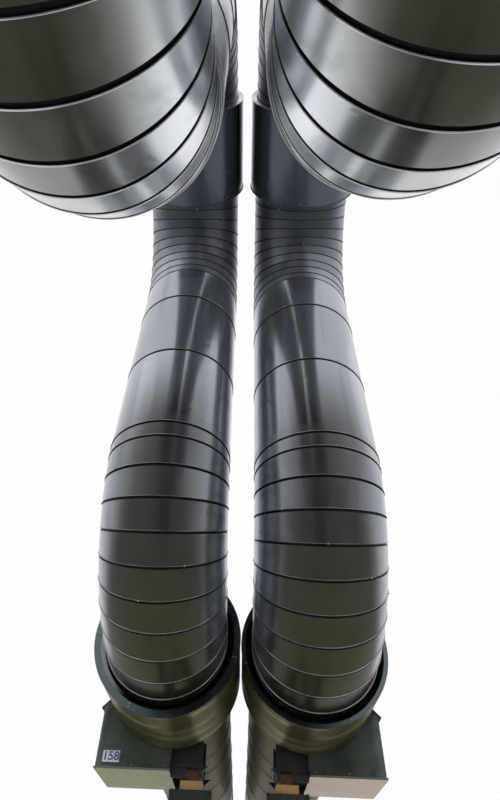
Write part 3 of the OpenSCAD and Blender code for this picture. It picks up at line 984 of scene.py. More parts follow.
def upper_seams(sizes):
    """The same of an upper bend, counted from the high run."""
    count = ceil((QUARTER - sizes.gore / 3 - sizes.upper_first) / sizes.gore)
    return QUARTER - sizes.upper_first - (count - 1) * sizes.gore, sizes.gore, 0.0, QUARTER, count


def riser_seams(sizes, rise):
    """The same of a riser, counted from its top."""
    count = floor((rise - sizes.shortest_sheet - sizes.first_riser_seam) / sizes.sheet_length) + 1
    return sizes.first_riser_seam, sizes.sheet_length, 0.0, rise, count


def low_covers(sizes, pipe):
    """The low run in two covers, up to the end of its short closing sheet and from there on: the start
    of each along the run, its length and its seams."""
    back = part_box(f"{pipe.side}_far_housing")[1].y - EAVES
    closing = back + sizes.closing_gap - pipe.bend_end
    shut = closing + sizes.closing_sheet
    before = floor((closing - sizes.shortest_sheet) / sizes.sheet_length)
    rest = pipe.run_end - pipe.bend_end - shut
    after = floor((rest - sizes.shortest_sheet) / sizes.sheet_length)
    return ((0.0, shut, (closing - before * sizes.sheet_length, sizes.sheet_length, 0.0, shut, before + 1)),
            (shut, rest, (sizes.sheet_length, sizes.sheet_length, 0.0, rest, after)))


def lower_place(pipe, end):
    """Where a bent cover goes to be a lower bend."""
    return pipe.placed(end) @ Matrix.Translation((0, pipe.bend_end, pipe.riser_foot))


def upper_place(pipe, end):
    """Where a bent cover goes to be an upper bend."""
    turned = Matrix(((1, 0, 0, 0), (0, 0, -1, 0), (0, -1, 0, 0), (0, 0, 0, 1)))
    centre = Matrix.Translation((0, pipe.riser_y - pipe.bend_radius, pipe.riser_top))
    return pipe.placed(end) @ centre @ turned


def riser_place(pipe, end):
    """Where a straight cover goes to hang down a riser from its top."""
    top = Matrix.Translation((0, pipe.riser_y, pipe.riser_top))
    return pipe.placed(end) @ top @ Matrix.Rotation(pi, 4, "X")


def low_place(pipe, end, start):
    """Where a straight cover goes to lie on a low run, from start on."""
    return pipe.placed(end) @ along_y(pipe.bend_end + start, pipe.low_z)


def bends():
    """The lower and upper bends, in mitred gores. The bends of each pipe end share a seed."""
    sizes = bpy.context.scene.bridge_sheets
    for s, pipe, e, end in pipe_ends():
        low = "near bend" if end == "near" else "low bend"
        for kind, stretch, place, seams, lap in (
                ("lower_bend", low, lower_place, lower_seams(sizes), -QUARTER),
                ("upper_bend", "high bend", upper_place, upper_seams(sizes), QUARTER)):
            name = f"{pipe.side}_{end}_{kind}"
            piece = cover(name + "_gores", stretch, place(pipe, end), pipe, True, QUARTER, seams, lap,
                          10.0 * (s + 2 * e + 1))
            finish(piece, "cladding", name)


def runs():
    """The risers and the low runs, in straight sheets, and the hidden high runs in black sealant as painted
    shade.
    """
    sizes = bpy.context.scene.bridge_sheets
    for s, pipe, e, end in pipe_ends():
        name = f"{pipe.side}_{end}_"
        riser = cover(name + "riser_sheets", "riser" if end == "far" else "near riser",
                      riser_place(pipe, end), pipe, False, pipe.rise, riser_seams(sizes, pipe.rise),
                      RISER_LAP, 3.0 + s + 5.0 * e)
        finish(riser, "cladding", name + "riser")
        parts = [cover(name + "part", "low run", low_place(pipe, end, start), pipe, False, total, seams,
                       RUN_LAP, 31.0 + s + 7.0 * e + start, end_rim=True)
                 for start, total, seams in low_covers(sizes, pipe)]
        finish(joined(name + "low_run_sheets", parts), "cladding", name + "low_run")
    # Painted shade: the hidden high runs are black
    for side in SIDES:
        repaint(f"{side}_high_run", material_of(sealant))


# Sleeves

# Bevel of the sleeves' edges, and how far small parts reach into what they lie on
ROLL, SEAT = 0.0025, 0.001


def sleeve_profile(inner, outer, ring, sheet, lip, flare, length, back):
    """Half section of an end sleeve from its front ring at 0: ring, flared lip, barrel, and back ring."""
    return [(inner + flare, 0), (ring - ROLL, 0), (ring, ROLL), (ring, sheet), (outer, sheet),
            (outer, length - ROLL), (outer - ROLL, length), (back, length), (back, length - sheet),
            (outer - sheet, length - sheet), (outer - sheet, sheet), (inner + flare + sheet, sheet),
            (inner + sheet, lip), (inner, lip)]


def crown_profile(radius, sheet, lip_in, lip_out, near, far):
    """Half section of a crown sleeve from near to far, a barrel with a lip at both ends."""
    outer = radius + sheet + lip_out
    return [(radius - lip_in, near), (outer - ROLL, near), (outer, near + ROLL), (outer, near + sheet),
            (radius + sheet, near + sheet), (radius + sheet, far - sheet), (outer, far - sheet),
            (outer, far - ROLL), (outer - ROLL, far), (radius - lip_in, far),
            (radius - lip_in, far - sheet), (radius, far - sheet), (radius, near + sheet),
            (radius - lip_in, near + sheet)]


def cover_strip(name, radius, alpha, width, thick, z0, z1, material):
    """A thin lengthwise strip lying on a barrel of the given radius, at angle alpha."""
    half = width / 2 / radius
    steps = (-1, -0.9, -0.3, 0.3, 0.9, 1)
    lift = (0, thick, thick, thick, thick, 0)
    rows = [(radius + h, alpha + half * s) for s, h in zip(steps, lift)]
    rows += [(radius - thick, alpha + half), (radius - thick, alpha - half)]
    vertices = [(r * cos(a), r * sin(a), z) for z in (z0, z1) for r, a in rows]
    count = len(rows)
    caps = [tuple(reversed(range(count))), tuple(range(count, 2 * count))]
    return mesh_piece(name, vertices, walls(0, count) + caps, material)


def segment_end(name, inner, outer, width, thick, alpha, material):
    """The end of one ring segment, lying on the next: a flat plate in front of the ring at 0."""
    half, bevel = width / 2, thick / 2
    corners = [(inner, -half), (outer, -half), (outer, half), (inner, half)]
    small = [(inner + bevel, bevel - half), (outer - bevel, bevel - half),
             (outer - bevel, half - bevel), (inner + bevel, half - bevel)]
    turn = Matrix.Rotation(alpha, 4, "Z")
    loops = ((SEAT, corners), (bevel - thick, corners), (-thick, small))
    vertices = [turn @ Vector((x, y, z)) for z, loop in loops for x, y in loop]
    faces = [(0, 1, 2, 3), (8, 11, 10, 9)]
    for row in (0, 4):
        faces += [(row + j, row + 4 + j, row + 4 + (j + 1) % 4, row + (j + 1) % 4) for j in range(4)]
    return mesh_piece(name, vertices, faces, material)


# The angles where the segments of a front ring lap, their thickness, and their gap to the ring's lip
RING_JOINTS = [radians(90 - joint) for joint in (-91, -24, 76, 165)]
SEGMENT_THICK, SEGMENT_IN = 0.003, 0.002

# The strips along the barrels: their width and thickness, and the angles where they lie
STRIP_WIDTH, STRIP_THICK, STRIP_PLACE = 0.045, 0.003, radians(150)
CROWN_LAPS = {"left": radians(24), "right": radians(156)}

# How deep an end sleeve's back reaches into the cladding, and half the width of a crown sleeve's spacer
SLEEVE_SUNK, SPACER = 0.01, 0.02


def sleeves():
    """The end sleeves, with the lapped segments of their front rings and the strips along their barrels."""
    sizes = bpy.context.scene.bridge_fittings
    face, material = material_of(ring_sheet), material_of(barrel_sheet)
    bands = ((face, (0, 1, 2, 3)), (material_of(lip_sheet), (11, 12, 13)))
    for _, pipe, _, end in pipe_ends():
        node = f"{pipe.side}_{end}_sleeve"
        inner, outer = pipe.radius + sizes.ring_gap, pipe.barrel_radius
        start = pipe.sleeve_start + SEGMENT_THICK
        long = pipe.sleeve_end - start
        profile = sleeve_profile(inner, outer, pipe.ring_radius, sizes.sheet, sizes.lip, sizes.flare, long,
                                 pipe.radius - SLEEVE_SUNK)
        parts = [lathe(node + "_barrel", profile, material, bands=bands)]
        for joint in RING_JOINTS:
            parts.append(segment_end("segment", inner + sizes.flare + SEGMENT_IN, outer - sizes.sheet,
                                     sizes.ring_lap, SEGMENT_THICK, joint, face))
        parts.append(cover_strip("strip", outer, STRIP_PLACE, STRIP_WIDTH, STRIP_THICK, 2 * sizes.sheet,
                                 long - sizes.sheet, material))
        piece = joined(node + "_shell", parts)
        shade(piece.data)
        put(piece, pipe.placed(end) @ along_y(start, pipe.low_z))
        finish(piece, "sleeve_sheet", node)


def crown_sleeves():
    """The sleeves over the crown of the loop, each with one lengthwise lap."""
    sizes = bpy.context.scene.bridge_fittings
    material = material_of(crown_sheet)
    bands = ((material_of(rolled_edge), (0, 1, 7, 8)),)
    for pipe in PIPES.values():
        node = f"{pipe.side}_crown_sleeve"
        near, far = pipe.crown_near, pipe.crown_far
        radius = pipe.crown_radius - sizes.crown_lip_out - sizes.sheet
        inner, outer = pipe.radius - 2 * SEAT, radius + SEAT
        profile = crown_profile(radius, sizes.sheet, sizes.crown_lip_in, sizes.crown_lip_out, near, far)
        spacer = [(inner, -SPACER), (outer, -SPACER), (outer, SPACER), (inner, SPACER)]
        piece = joined(node + "_shell", [
            lathe("barrel", profile, material, bands=bands), lathe("spacer", spacer, material),
            cover_strip("strip", radius + sizes.sheet, CROWN_LAPS[pipe.side], STRIP_WIDTH, STRIP_THICK,
                        near + sizes.sheet, far - sizes.sheet, material)])
        shade(piece.data)
        put(piece, pipe.placed("far") @ along_y(0, pipe.high_z))
        finish(piece, "sleeve_sheet", node)


# Housings, supports and ends


def refined_copy(name, node, edge, material):
    """A copy of a node with its flat faces whole and its sharp edges rounded."""
    form = bmesh.new()
    form.from_mesh(frame["nodes"][node].data)
    bmesh.ops.remove_doubles(form, verts=form.verts, dist=MERGE)
    bmesh.ops.dissolve_limit(form, angle_limit=radians(0.5), verts=form.verts, edges=form.edges)
    sharp = [e for e in form.edges if len(e.link_faces) == 2 and e.calc_face_angle() > radians(40)]
    bmesh.ops.bevel(form, geom=sharp, offset=edge, segments=2, affect="EDGES", clamp_overlap=True)
    for face in form.faces:
        face.material_index = 0
    mesh = bpy.data.meshes.new(name)
    form.to_mesh(mesh)
    form.free()
    mesh.materials.clear()
    mesh.materials.append(material)
    piece = new_object(name, mesh)
    shade(mesh, 30)
    return piece


# The painted ground reflection under a housing and the tone of its sheet, and how much its edges and the
# # blocks' are rounded
HOUSINGS = {"left": ("moss", 1.75), "right": ("sand", 1.2)}
HOUSING_EDGE, BLOCK_EDGE = 0.0018, 0.004

# The rust on a saddle, and the rusty rocker: how far inside the blocks it ends, and its top over theirs
SADDLE_RUST, ROCKER_IN, ROCKER_RISE = 0.05, 0.02, 0.0775

# The bare pipe's wall, its bevelled end, and its length inside the cladding
CARRIER_WALL, CARRIER_EDGE, CARRIER_SUNK = 0.009, 0.003, 0.02

# The end caps: the collar's length and its outside over the pipe, half the sheet, and the rim's inset
CAP_COLLAR, CAP_EDGE, CAP_SHEET, CAP_IN = 0.03, 0.007, 0.004, 0.012


def housings():
    """The support housings, with rounded folds."""
    for _, pipe, _, end in pipe_ends():
        node = f"{pipe.side}_{end}_housing"
        material = material_of(housing_sheet, *HOUSINGS[pipe.side])
        finish(refined_copy(node + "_sheet", node, HOUSING_EDGE, material), "housing_sheet", node)


def supports():
    """Finishes of the trestles, saddles and bearings."""
    for end in ENDS:
        lo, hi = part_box(f"{end}_bearings")
        nearest, furthest = sorted((abs(lo.y), abs(hi.y)))
        rocker = (nearest + ROCKER_IN, furthest - ROCKER_IN, hi.z + ROCKER_RISE)
        for side in SIDES:
            repaint(f"{side}_{end}_shoe",
                    material_of(painted_steel, f"saddle steel {end}", SADDLE_RUST, rocker))
            repaint(f"{side}_{end}_post", material_of(black_steel))
        repaint(f"{end}_tie_frame", material_of(black_steel))
        node = f"{end}_bearings"
        blocks = refined_copy(f"{end}_bearing_blocks", node, BLOCK_EDGE, material_of(bearing_block))
        finish(blocks, "bearing", node)


def carrier_ends():
    """The bare pipe ends and the caps that close the insulation around them."""
    for _, pipe, _, end in pipe_ends():
        place = pipe.placed(end) @ along_y(pipe.run_end, pipe.low_z)
        outer, bare = pipe.carrier_radius, pipe.stub
        bore = outer - CARRIER_WALL
        node = f"{pipe.side}_{end}_carrier_stub"
        stub = lathe(node + "_pipe", [
            (bore, -CARRIER_SUNK), (outer, -CARRIER_SUNK), (outer, bare - CARRIER_EDGE),
            (outer - CARRIER_EDGE, bare), (bore, bare)], material_of(rusty_pipe), 128)
        put(stub, place)
        stub.data.flip_normals()
        finish(stub, "carrier_pipe", node)
        inside, collar, rim = outer + CAP_SHEET, outer + CAP_EDGE, pipe.radius - CAP_IN
        front = CAP_COLLAR + CAP_SHEET
        cap = lathe(f"{pipe.side}_{end}_end_cap", [
            (inside, -CAP_SHEET), (inside, CAP_COLLAR), (outer, CAP_COLLAR), (outer, front),
            (collar, front), (collar, CAP_SHEET), (rim, CAP_SHEET), (rim, -CAP_SHEET)],
            material_of(cladding_sheet, "riser"))
        put(cap, place)
        cap.data.flip_normals()
        finish(cap, "cladding")


# Fasteners

# Points round a ring of fasteners, and how far a screw and a rivet stand off the sheet
RING_STEPS, SCREW_LIFT, RIVET_LIFT = 64, 0.001, 0.0005

# The screws across a ring joint: their inset from the ring's two edges, and their distance from the joint
JOINT_IN, JOINT_OUT, JOINT_SIDE = 0.012, 0.02, 0.006

# The screws of an end sleeve: their size beside other screws, their pitch, and how far those along the
# strip keep off its front and its back
SLEEVE_SCREW, SLEEVE_SCREW_PITCH, STRIP_FRONT, STRIP_BACK = 0.7, 0.03, 0.04, 0.05

# The rings of rivets: their inset from a sleeve's ends, and their pitch
SLEEVE_RIVETS, CROWN_RIVETS = (0.03, 0.18), (0.04, 0.2)

# The rivets of a housing: inset from a fold, height of the level rows, how far over them the upright
# rows start, the height where those end, and what the rows of the side and the underside leave free
FOLD_IN, FOLD_FOOT, FOLD_GAP, FOLD_TOP, FOLD_OFF = 0.03, 0.035, 0.08, 0.46, 0.02

# Thickness of a base plate, bevel of what stands on it, and the radius, foot, top and sides of the
# washer, nut and stud
BASE_PLATE, NUT_EDGE = 0.03, 0.0015
NUT_STACK = ((0.032, 0.0, 0.005, 32), (0.026, 0.005, 0.029, 6), (0.015, 0.029, 0.052, 24))


def fastener_tree(kind):
    """Small heads along lines. The lines come in as edges, with the way out from the surface on their
    points as the attribute out, and carry a head every so often."""
    tree, given = geometry_tree(f"{kind} rows", ("Pitch", "Radius"), takes_mesh=True)
    radius = Field(tree, given.outputs["Radius"])
    curve = new_node(tree, "GeometryNodeMeshToCurve", {"Mesh": given.outputs["Geometry"]}).outputs[0]
    spaced = new_node(tree, "GeometryNodeResampleCurve",
                      {"Curve": curve, "Length": given.outputs["Pitch"]}, mode="LENGTH").outputs[0]
    if kind == "Rivet":
        dome = new_node(tree, "GeometryNodeMeshUVSphere", {"Segments": 10, "Rings": 6, "Radius": radius})
        head = new_node(tree, "GeometryNodeTransform",
                        {"Geometry": dome.outputs[0], "Scale": (1.0, 1.0, 0.55)}).outputs[0]
    else:
        washer = new_node(tree, "GeometryNodeMeshCylinder",
                          {"Vertices": 12, "Radius": radius * 1.5, "Depth": radius * 0.3}).outputs[0]
        hexagon = new_node(tree, "GeometryNodeMeshCylinder",
                           {"Vertices": 6, "Radius": radius, "Depth": radius * 1.4}).outputs[0]
        above = vector(tree, 0.0, 0.0, radius * 0.6)
        raised = new_node(tree, "GeometryNodeTransform", {"Geometry": hexagon, "Translation": above})
        join = new_node(tree, "GeometryNodeJoinGeometry")
        for part in (washer, raised.outputs[0]):
            feed(tree, join.inputs[0], part)
        head = join.outputs[0]
    way = new_node(tree, "GeometryNodeInputNamedAttribute", {"Name": "out"}, data_type="FLOAT_VECTOR")
    turned = new_node(tree, "FunctionNodeAlignRotationToVector",
                      {"Vector": next(s for s in way.outputs if s.enabled)}, axis="Z").outputs[0]
    heads = new_node(tree, "GeometryNodeInstanceOnPoints",
                     {"Points": spaced, "Instance": head, "Rotation": turned}).outputs[0]
    end_tree(tree, heads, (material_of(zinc), None))
    return tree


def line_mesh(lines):
    """Edges along lines of (point, way out) pairs, with the way out as a point attribute."""
    points = [pair for line in lines for pair in line]
    edges, start = [], 0
    for line in lines:
        edges += [(start + j, start + j + 1) for j in range(len(line) - 1)]
        start += len(line)
    mesh = bpy.data.meshes.new("lines")
    mesh.from_pydata([point for point, way in points], edges, [])
    out = mesh.attributes.new("out", "FLOAT_VECTOR", "POINT")
    out.data.foreach_set("vector", [value for point, way in points for value in way])
    return mesh


def fastened(name, kind, lines, pitch, radius, slot):
    """A piece of fastener heads along lines."""
    piece = from_tree(name, tree_of(fastener_tree, kind), {"Pitch": pitch, "Radius": radius},
                      line_mesh(lines))
    finish(piece, slot)


def turned_line(line, matrix):
    """A line of (point, way out) pairs moved by a matrix."""
    turn = matrix.to_3x3()
    return [(matrix @ point, (turn @ way).normalized()) for point, way in line]


def straight_line(start, stop, way):
    """The line from start to stop, with its way out."""
    return [(Vector(start), Vector(way)), (Vector(stop), Vector(way))]


def ring_line(radius, z, first=0.0):
    """A circle about +Z that starts at an angle, with its way out."""
    angles = [first + 2 * pi * j / RING_STEPS for j in range(RING_STEPS + 1)]
    return [(Vector((radius * cos(a), radius * sin(a), z)), Vector((cos(a), sin(a), 0))) for a in angles]


def gore_line(pipe, place, middle, lift, first):
    """Ring of a mitred gore at an angle of the bend, with its way out."""
    across, down = Vector((0, -cos(middle), -sin(middle))), Vector((0, -cos(place), -sin(place)))
    r = pipe.radius + lift
    line = []
    for j in range(RING_STEPS + 1):
        a = first + 2 * pi * j / RING_STEPS
        reach = (pipe.bend_radius + r * sin(a)) / cos(place - middle)
        line.append((reach * down + Vector((r * cos(a), 0, 0)), Vector((cos(a), 0, 0)) + sin(a) * across))
    return line


def seam_places(seams, total):
    """Where the sheets of a cover start and end, along it."""
    first, pitch, least, most, count = seams
    return [0.0, *(min(max(first + k * pitch, least), most) for k in range(count)), total]


def seam_screws():
    """Screws through the rims of the sheets, each ring of them starting at an angle of its own. The near
    lower bends have none."""
    sizes, fittings = bpy.context.scene.bridge_sheets, bpy.context.scene.bridge_fittings
    lift, back = sizes.rim_height + SCREW_LIFT, sizes.bead_length / 2
    for s, pipe, e, end in pipe_ends():
        lines = []
        screwed = [(upper_place, upper_seams(sizes))]
        if end == "far":
            screwed.append((lower_place, lower_seams(sizes)))
        for place, seams in screwed:
            stops = seam_places(seams, QUARTER)
            for k in range(1, len(stops) - 1):
                at = stops[k] - back / (pipe.bend_radius + pipe.radius)
                middle = (stops[k - 1] + stops[k]) / 2
                line = gore_line(pipe, at, middle, lift, radians(37 * k + 61 * s + 23 * e))
                lines.append(turned_line(line, place(pipe, end)))
        straight = [(riser_place(pipe, end), riser_seams(sizes, pipe.rise), pipe.rise)]
        straight += [(low_place(pipe, end, start), seams, total)
                     for start, total, seams in low_covers(sizes, pipe)]
        for place, seams, total in straight:
            for k, stop in enumerate(seam_places(seams, total)[1:-1]):
                line = ring_line(pipe.radius + lift, stop - back, radians(41 * k + 17 * s))
                lines.append(turned_line(line, place))
        fastened(f"{pipe.side}_{end}_seam_screws", "Screw", lines, fittings.screw_pitch, fittings.screw,
                 "cladding")


def sleeve_screws():
    """Screws across the ring joints and along the sleeves' strips, and rivets round the sleeves' ends."""
    fittings = bpy.context.scene.bridge_fittings
    for pipe in PIPES.values():
        inner = pipe.radius + fittings.ring_gap + fittings.flare + JOINT_IN
        joint = straight_line((inner, JOINT_SIDE, 0), (pipe.ring_radius - JOINT_OUT, JOINT_SIDE, 0),
                              (0, 0, -1))
        long = pipe.sleeve_end - pipe.sleeve_start
        top = pipe.barrel_radius + STRIP_THICK
        strip = straight_line((top, 0, STRIP_FRONT), (top, 0, long - STRIP_BACK), (1, 0, 0))
        inset, pitch = SLEEVE_RIVETS
        rings = [ring_line(pipe.barrel_radius + RIVET_LIFT, z) for z in (inset, long - inset)]
        for end in ENDS:
            name = f"{pipe.side}_{end}_sleeve_"
            place = pipe.placed(end) @ along_y(pipe.sleeve_start, pipe.low_z)
            lines = [turned_line(joint, place @ Matrix.Rotation(turn, 4, "Z")) for turn in RING_JOINTS]
            lines.append(turned_line(strip, place @ Matrix.Rotation(STRIP_PLACE, 4, "Z")))
            fastened(name + "screws", "Screw", lines, SLEEVE_SCREW_PITCH, fittings.screw * SLEEVE_SCREW,
                     "sleeve_sheet")
            fastened(name + "rivets", "Rivet", [turned_line(ring, place) for ring in rings], pitch,
                     fittings.rivet, "sleeve_sheet")
        inset, pitch = CROWN_RIVETS
        radius = pipe.crown_radius - fittings.crown_lip_out
        place = pipe.placed("far") @ along_y(0, pipe.high_z)
        rings = [turned_line(ring_line(radius + RIVET_LIFT, z), place)
                 for z in (pipe.crown_near + inset, pipe.crown_far - inset)]
        fastened(f"{pipe.side}_crown_rivets", "Rivet", rings, pitch, fittings.rivet, "sleeve_sheet")


def housing_rivets():
    """Rivets along the folds of the housings."""
    fittings = bpy.context.scene.bridge_fittings
    for _, pipe, _, end in pipe_ends():
        lo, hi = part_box(f"{pipe.side}_far_housing")
        # In the pipe's own frame its housing lies on the side of -X
        wide = max(abs(lo.x - pipe.x), abs(hi.x - pipe.x)) - EAVES
        corner, front, back = FOLD_IN - wide, lo.y + EAVES, hi.y - EAVES
        foot, top = lo.z + FOLD_FOOT, lo.z + FOLD_TOP
        start, folds = foot + FOLD_GAP, (front + FOLD_IN, back - FOLD_IN)
        lines = []
        for y, way in ((front, (0, -1, 0)), (back, (0, 1, 0))):
            lines.append(straight_line((corner, y, foot), (-FOLD_IN, y, foot), way))
            lines.append(straight_line((corner, y, start), (corner, y, top), way))
        lines.append(straight_line((-wide, folds[0], foot), (-wide, folds[1], foot), (-1, 0, 0)))
        for y in folds:
            lines.append(straight_line((-wide, y, start), (-wide, y, top - FOLD_OFF), (-1, 0, 0)))
        for y in folds:
            lines.append(straight_line((corner, y, lo.z), (-FOLD_OFF, y, lo.z), (0, 0, -1)))
        lines = [turned_line(line, pipe.placed(end)) for line in lines]
        fastened(f"{pipe.side}_{end}_housing_rivets", "Rivet", lines, fittings.rivet_pitch, fittings.rivet,
                 "housing_sheet")


def disc(name, radius, low, high, around, material, x, y):
    """A short upright cylinder or prism with its upper edge taken off."""
    loops = ((radius, low), (radius, high - NUT_EDGE), (radius - NUT_EDGE, high))
    vertices = [(x + across, y + along, z) for across, along, z in rings_of(loops, around)]
    caps = [tuple(reversed(range(around))), tuple(range(2 * around, 3 * around))]
    return mesh_piece(name, vertices, caps + walls(0, around) + walls(around, around), material)


def anchor_nuts():
    """Washers, nuts and stud ends on the base plates."""
    material = material_of(zinc)
    mounts = {mount["name"]: mount for mount in frame["record"]["mounts"]}
    for _, pipe, _, end in pipe_ends():
        foot = mounts[f"{pipe.side}_{end}_anchor_bolts"]
        x, y = foot["pos_m"][:2]
        half = foot["dims"]["spacing_x_mm"] / 2000
        parts = [disc("nut", radius, BASE_PLATE + low, BASE_PLATE + high, around, material,
                      x + across * half, y + along * half)
                 for across in (-1, 1) for along in (-1, 1) for radius, low, high, around in NUT_STACK]
        finish(joined(f"{pipe.side}_{end}_anchor_nuts", parts), "support_steel")


def slab(name, x0, x1, z0, z1, y, lift, material):
    """A thin upright rectangle whose front stands out of the plane y by lift."""
    vertices = [(x, y - depth, z) for depth in (-SEAT, lift)
                for x, z in ((x0, z0), (x1, z0), (x1, z1), (x0, z1))]
    return mesh_piece(name, vertices, [(3, 2, 1, 0), (4, 5, 6, 7), *walls(0, 4)], material)


def digit_mesh(digit):
    """A heavy digit, upright and centred, as a thin mesh."""
    text = bpy.data.curves.new("digit", "FONT")
    text.body, text.size, text.extrude, text.offset = digit, DIGIT_HEIGHT, 0.0006, 0.0022
    text.align_x, text.align_y = "CENTER", "CENTER"
    holder = new_object("digit", text)
    mesh = bpy.data.meshes.new_from_object(holder.evaluated_get(bpy.context.evaluated_depsgraph_get()))
    bpy.data.objects.remove(holder)
    return mesh


NUMBER = "158"

# The plate's left and right edge in X, and its lower and upper edge over the housing's foot
PLATE = (-1.158, -1.000, 0.040, 0.138)
PLATE_BORDER, TILE_GAP, DIGIT_HEIGHT = 0.008, 0.0015, 0.088
FRAME_LIFT, TILE_LIFT, DIGIT_LIFT = 0.002, 0.0028, 0.0032


def number_plate():
    """The small plate on the left far housing: three white tiles with a digit each, in a blue frame."""
    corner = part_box("left_far_housing")[0]
    y = corner.y + EAVES
    x0, x1, z0, z1 = PLATE
    z0, z1 = corner.z + z0, corner.z + z1
    blue = material_of(enamel, "blue enamel", (0.01, 0.045, 0.22))
    white = material_of(enamel, "white enamel", (0.78, 0.79, 0.80))
    parts = [slab("frame", x0, x1, z0, z1, y, FRAME_LIFT, blue)]
    wide = (x1 - x0 - 2 * PLATE_BORDER) / len(NUMBER)
    for k, digit in enumerate(NUMBER):
        left = x0 + PLATE_BORDER + k * wide
        parts.append(slab("tile", left + TILE_GAP, left + wide - TILE_GAP, z0 + PLATE_BORDER,
                          z1 - PLATE_BORDER, y, TILE_LIFT, white))
        mesh = digit_mesh(digit)
        middle = Matrix.Translation((left + wide / 2, y - DIGIT_LIFT, (z0 + z1) / 2))
        mesh.transform(middle @ Matrix.Rotation(QUARTER, 4, "X"))
        mesh.materials.clear()
        mesh.materials.append(blue)
        parts.append(new_object("digit", mesh))
    finish(joined("number_plate", parts), "housing_sheet")


# Studio

FLOOR_REACH, FLOOR_CORNERS = 400, 96


def camera():
    """The camera of the photograph: it looks up between the pipes."""
    studio = bpy.context.scene.bridge_studio
    p, y, r = studio.pitch, studio.yaw, studio.roll
    forward = Vector((sin(y) * cos(p), cos(y) * cos(p), sin(p)))
    right = Vector((cos(y), -sin(y), 0))
    up = right.cross(forward)
    level, over = cos(r) * right + sin(r) * up, cos(r) * up - sin(r) * right
    data = bpy.data.cameras.new("camera")
    data.lens = studio.lens
    data.sensor_width = 36
    data.shift_x, data.shift_y = studio.shift
    data.clip_end = 200
    holder = new_object("camera", data)
    turn = Matrix((level, over, -forward)).transposed().to_4x4()
    holder.matrix_world = Matrix.Translation(studio.camera) @ turn
    bpy.context.scene.camera = holder


def sky():
    """White for the camera and for reflections, and a plain even light for the rest."""
    world = bpy.data.worlds.new("sky")
    bpy.context.scene.world = world
    world.use_nodes = True
    tree = world.node_tree
    light = tree.nodes["Background"]
    path = tree.nodes.new("ShaderNodeLightPath")
    seen = Field(tree, path.outputs["Is Camera Ray"])
    for ray in ("Is Glossy Ray", "Is Transmission Ray"):
        seen = seen.most(Field(tree, path.outputs[ray]))
    even = bpy.context.scene.bridge_studio.sky
    feed(tree, light.inputs["Strength"], seen * (1 - even) + even)
    light.inputs["Color"].default_value = (0.985, 0.985, 1.0, 1.0)


def soft_box(name, place, target, size, brightness):
    """A large square lamp that looks at a target. Its brightness is what a reflection of it shows."""
    data = bpy.data.lights.new(name, "AREA")
    data.size = size
    data.energy = brightness * size * size * pi
    lamp = new_object(name, data)
    lamp.location = place
    lamp.rotation_euler = (Vector(target) - Vector(place)).to_track_quat("-Z", "Y").to_euler()


def studio():
    """Floor, lamps, world and camera."""
    scene = bpy.context.scene
    scene.view_settings.view_transform = "Standard"
    camera()
    sky()
    lamp = scene.bridge_studio.lamp
    soft_box("box over the left", (-9, -3, 11), (0, 0, 4), 6, lamp)
    soft_box("box over the right", (9, 4, 12), (0, 0, 4), 5, lamp * 0.6)
    material, tree, shader, spot = new_material("floor", Roughness=0.9)
    tint = tint_of("floor")
    spots = mixed(tree, noise(tree, spot, 0.6, 3.0), shaded(0.97, tint), shaded(1.03, tint))
    feed(tree, shader.inputs["Base Color"], spots)
    rim = rings_of([(FLOOR_REACH, 0)], FLOOR_CORNERS)
    mesh_piece("studio_floor", rim, [tuple(range(FLOOR_CORNERS))], material)


# Operators


class BRIDGE_OT_studio(bpy.types.Operator):
    """Set up the floor, the light and the camera"""

    bl_idname = "bridge.studio"
    bl_label = "Studio"

    def execute(self, context):
        studio()
        return {"FINISHED"}


class BRIDGE_OT_bends(bpy.types.Operator):
    """Clad the lower and upper bends in mitred gores"""

    bl_idname = "bridge.bends"
    bl_label = "Bends"

    def execute(self, context):
        bends()
        return {"FINISHED"}


class BRIDGE_OT_runs(bpy.types.Operator):
    """Clad the risers and the low runs in straight sheets"""

    bl_idname = "bridge.runs"
    bl_label = "Runs"

    def execute(self, context):
        runs()
        return {"FINISHED"}


class BRIDGE_OT_sleeves(bpy.types.Operator):
    """Build the sleeves over the low runs"""

    bl_idname = "bridge.sleeves"
    bl_label = "End sleeves"

    def execute(self, context):
        sleeves()
        return {"FINISHED"}


class BRIDGE_OT_crown_sleeves(bpy.types.Operator):
    """Build the sleeves over the crown of the loop"""

    bl_idname = "bridge.crown_sleeves"
    bl_label = "Crown sleeves"

    def execute(self, context):
        crown_sleeves()
        return {"FINISHED"}


class BRIDGE_OT_housings(bpy.types.Operator):
    """Build the support housings"""

    bl_idname = "bridge.housings"
    bl_label = "Housings"

    def execute(self, context):
        housings()
        return {"FINISHED"}


class BRIDGE_OT_supports(bpy.types.Operator):
    """Finish the trestles, saddles and bearings"""

    bl_idname = "bridge.supports"
    bl_label = "Supports"

    def execute(self, context):
        supports()
        return {"FINISHED"}


class BRIDGE_OT_carrier_ends(bpy.types.Operator):
    """Build the bare pipe ends and their caps"""

    bl_idname = "bridge.carrier_ends"
    bl_label = "Carrier ends"

    def execute(self, context):
        carrier_ends()
        return {"FINISHED"}


class BRIDGE_OT_seam_screws(bpy.types.Operator):
    """Put screws through the seams"""

    bl_idname = "bridge.seam_screws"
    bl_label = "Seam screws"

    def execute(self, context):
        seam_screws()
        return {"FINISHED"}


class BRIDGE_OT_sleeve_screws(bpy.types.Operator):
    """Put screws and rivets on the sleeves"""

    bl_idname = "bridge.sleeve_screws"
    bl_label = "Sleeve screws"

    def execute(self, context):
        sleeve_screws()
        return {"FINISHED"}


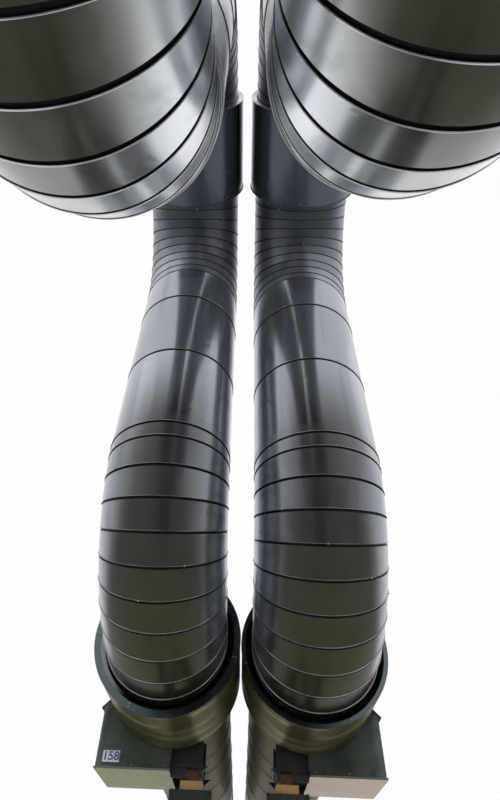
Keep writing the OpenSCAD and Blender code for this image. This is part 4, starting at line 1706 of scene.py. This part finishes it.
class BRIDGE_OT_housing_rivets(bpy.types.Operator):
    """Put rivets along the folds of the housings"""

    bl_idname = "bridge.housing_rivets"
    bl_label = "Housing rivets"

    def execute(self, context):
        housing_rivets()
        return {"FINISHED"}


class BRIDGE_OT_anchor_nuts(bpy.types.Operator):
    """Put nuts on the base plates"""

    bl_idname = "bridge.anchor_nuts"
    bl_label = "Anchor nuts"

    def execute(self, context):
        anchor_nuts()
        return {"FINISHED"}


class BRIDGE_OT_number_plate(bpy.types.Operator):
    """Put the number plate on its housing"""

    bl_idname = "bridge.number_plate"
    bl_label = "Number plate"

    def execute(self, context):
        number_plate()
        return {"FINISHED"}


OPERATORS = (
    BRIDGE_OT_studio,
    BRIDGE_OT_bends,
    BRIDGE_OT_runs,
    BRIDGE_OT_sleeves,
    BRIDGE_OT_crown_sleeves,
    BRIDGE_OT_housings,
    BRIDGE_OT_supports,
    BRIDGE_OT_carrier_ends,
    BRIDGE_OT_seam_screws,
    BRIDGE_OT_sleeve_screws,
    BRIDGE_OT_housing_rivets,
    BRIDGE_OT_anchor_nuts,
    BRIDGE_OT_number_plate,
)


class VIEW3D_PT_pipe_bridge(bpy.types.Panel):
    """Lists the bridge's sizes and the steps that build it."""

    bl_label = "Pipe Bridge"
    bl_space_type = "VIEW_3D"
    bl_region_type = "UI"
    bl_category = "Pipe Bridge"

    def draw(self, context):
        for name, group in SETTINGS.items():
            box = self.layout.box()
            box.label(text=group.__doc__.rstrip("."))
            for key in group.__annotations__:
                box.prop(getattr(context.scene, name), key)
        for item in OPERATORS:
            self.layout.operator(item.bl_idname)


CLASSES = (*SETTINGS.values(), *OPERATORS, VIEW3D_PT_pipe_bridge)


def register():
    """Adds the settings, the operators and the panel to Blender."""
    for item in CLASSES:
        bpy.utils.register_class(item)
    for name, group in SETTINGS.items():
        setattr(bpy.types.Scene, name, PointerProperty(type=group))


def unregister():
    """Takes them out again."""
    for name in SETTINGS:
        delattr(bpy.types.Scene, name)
    for item in reversed(CLASSES):
        bpy.utils.unregister_class(item)


def main():
    """Builds everything on the loaded frame."""
    register()
    for item in OPERATORS:
        getattr(bpy.ops.bridge, item.bl_idname.split(".")[1])()


if __name__ == "__main__":
    main()
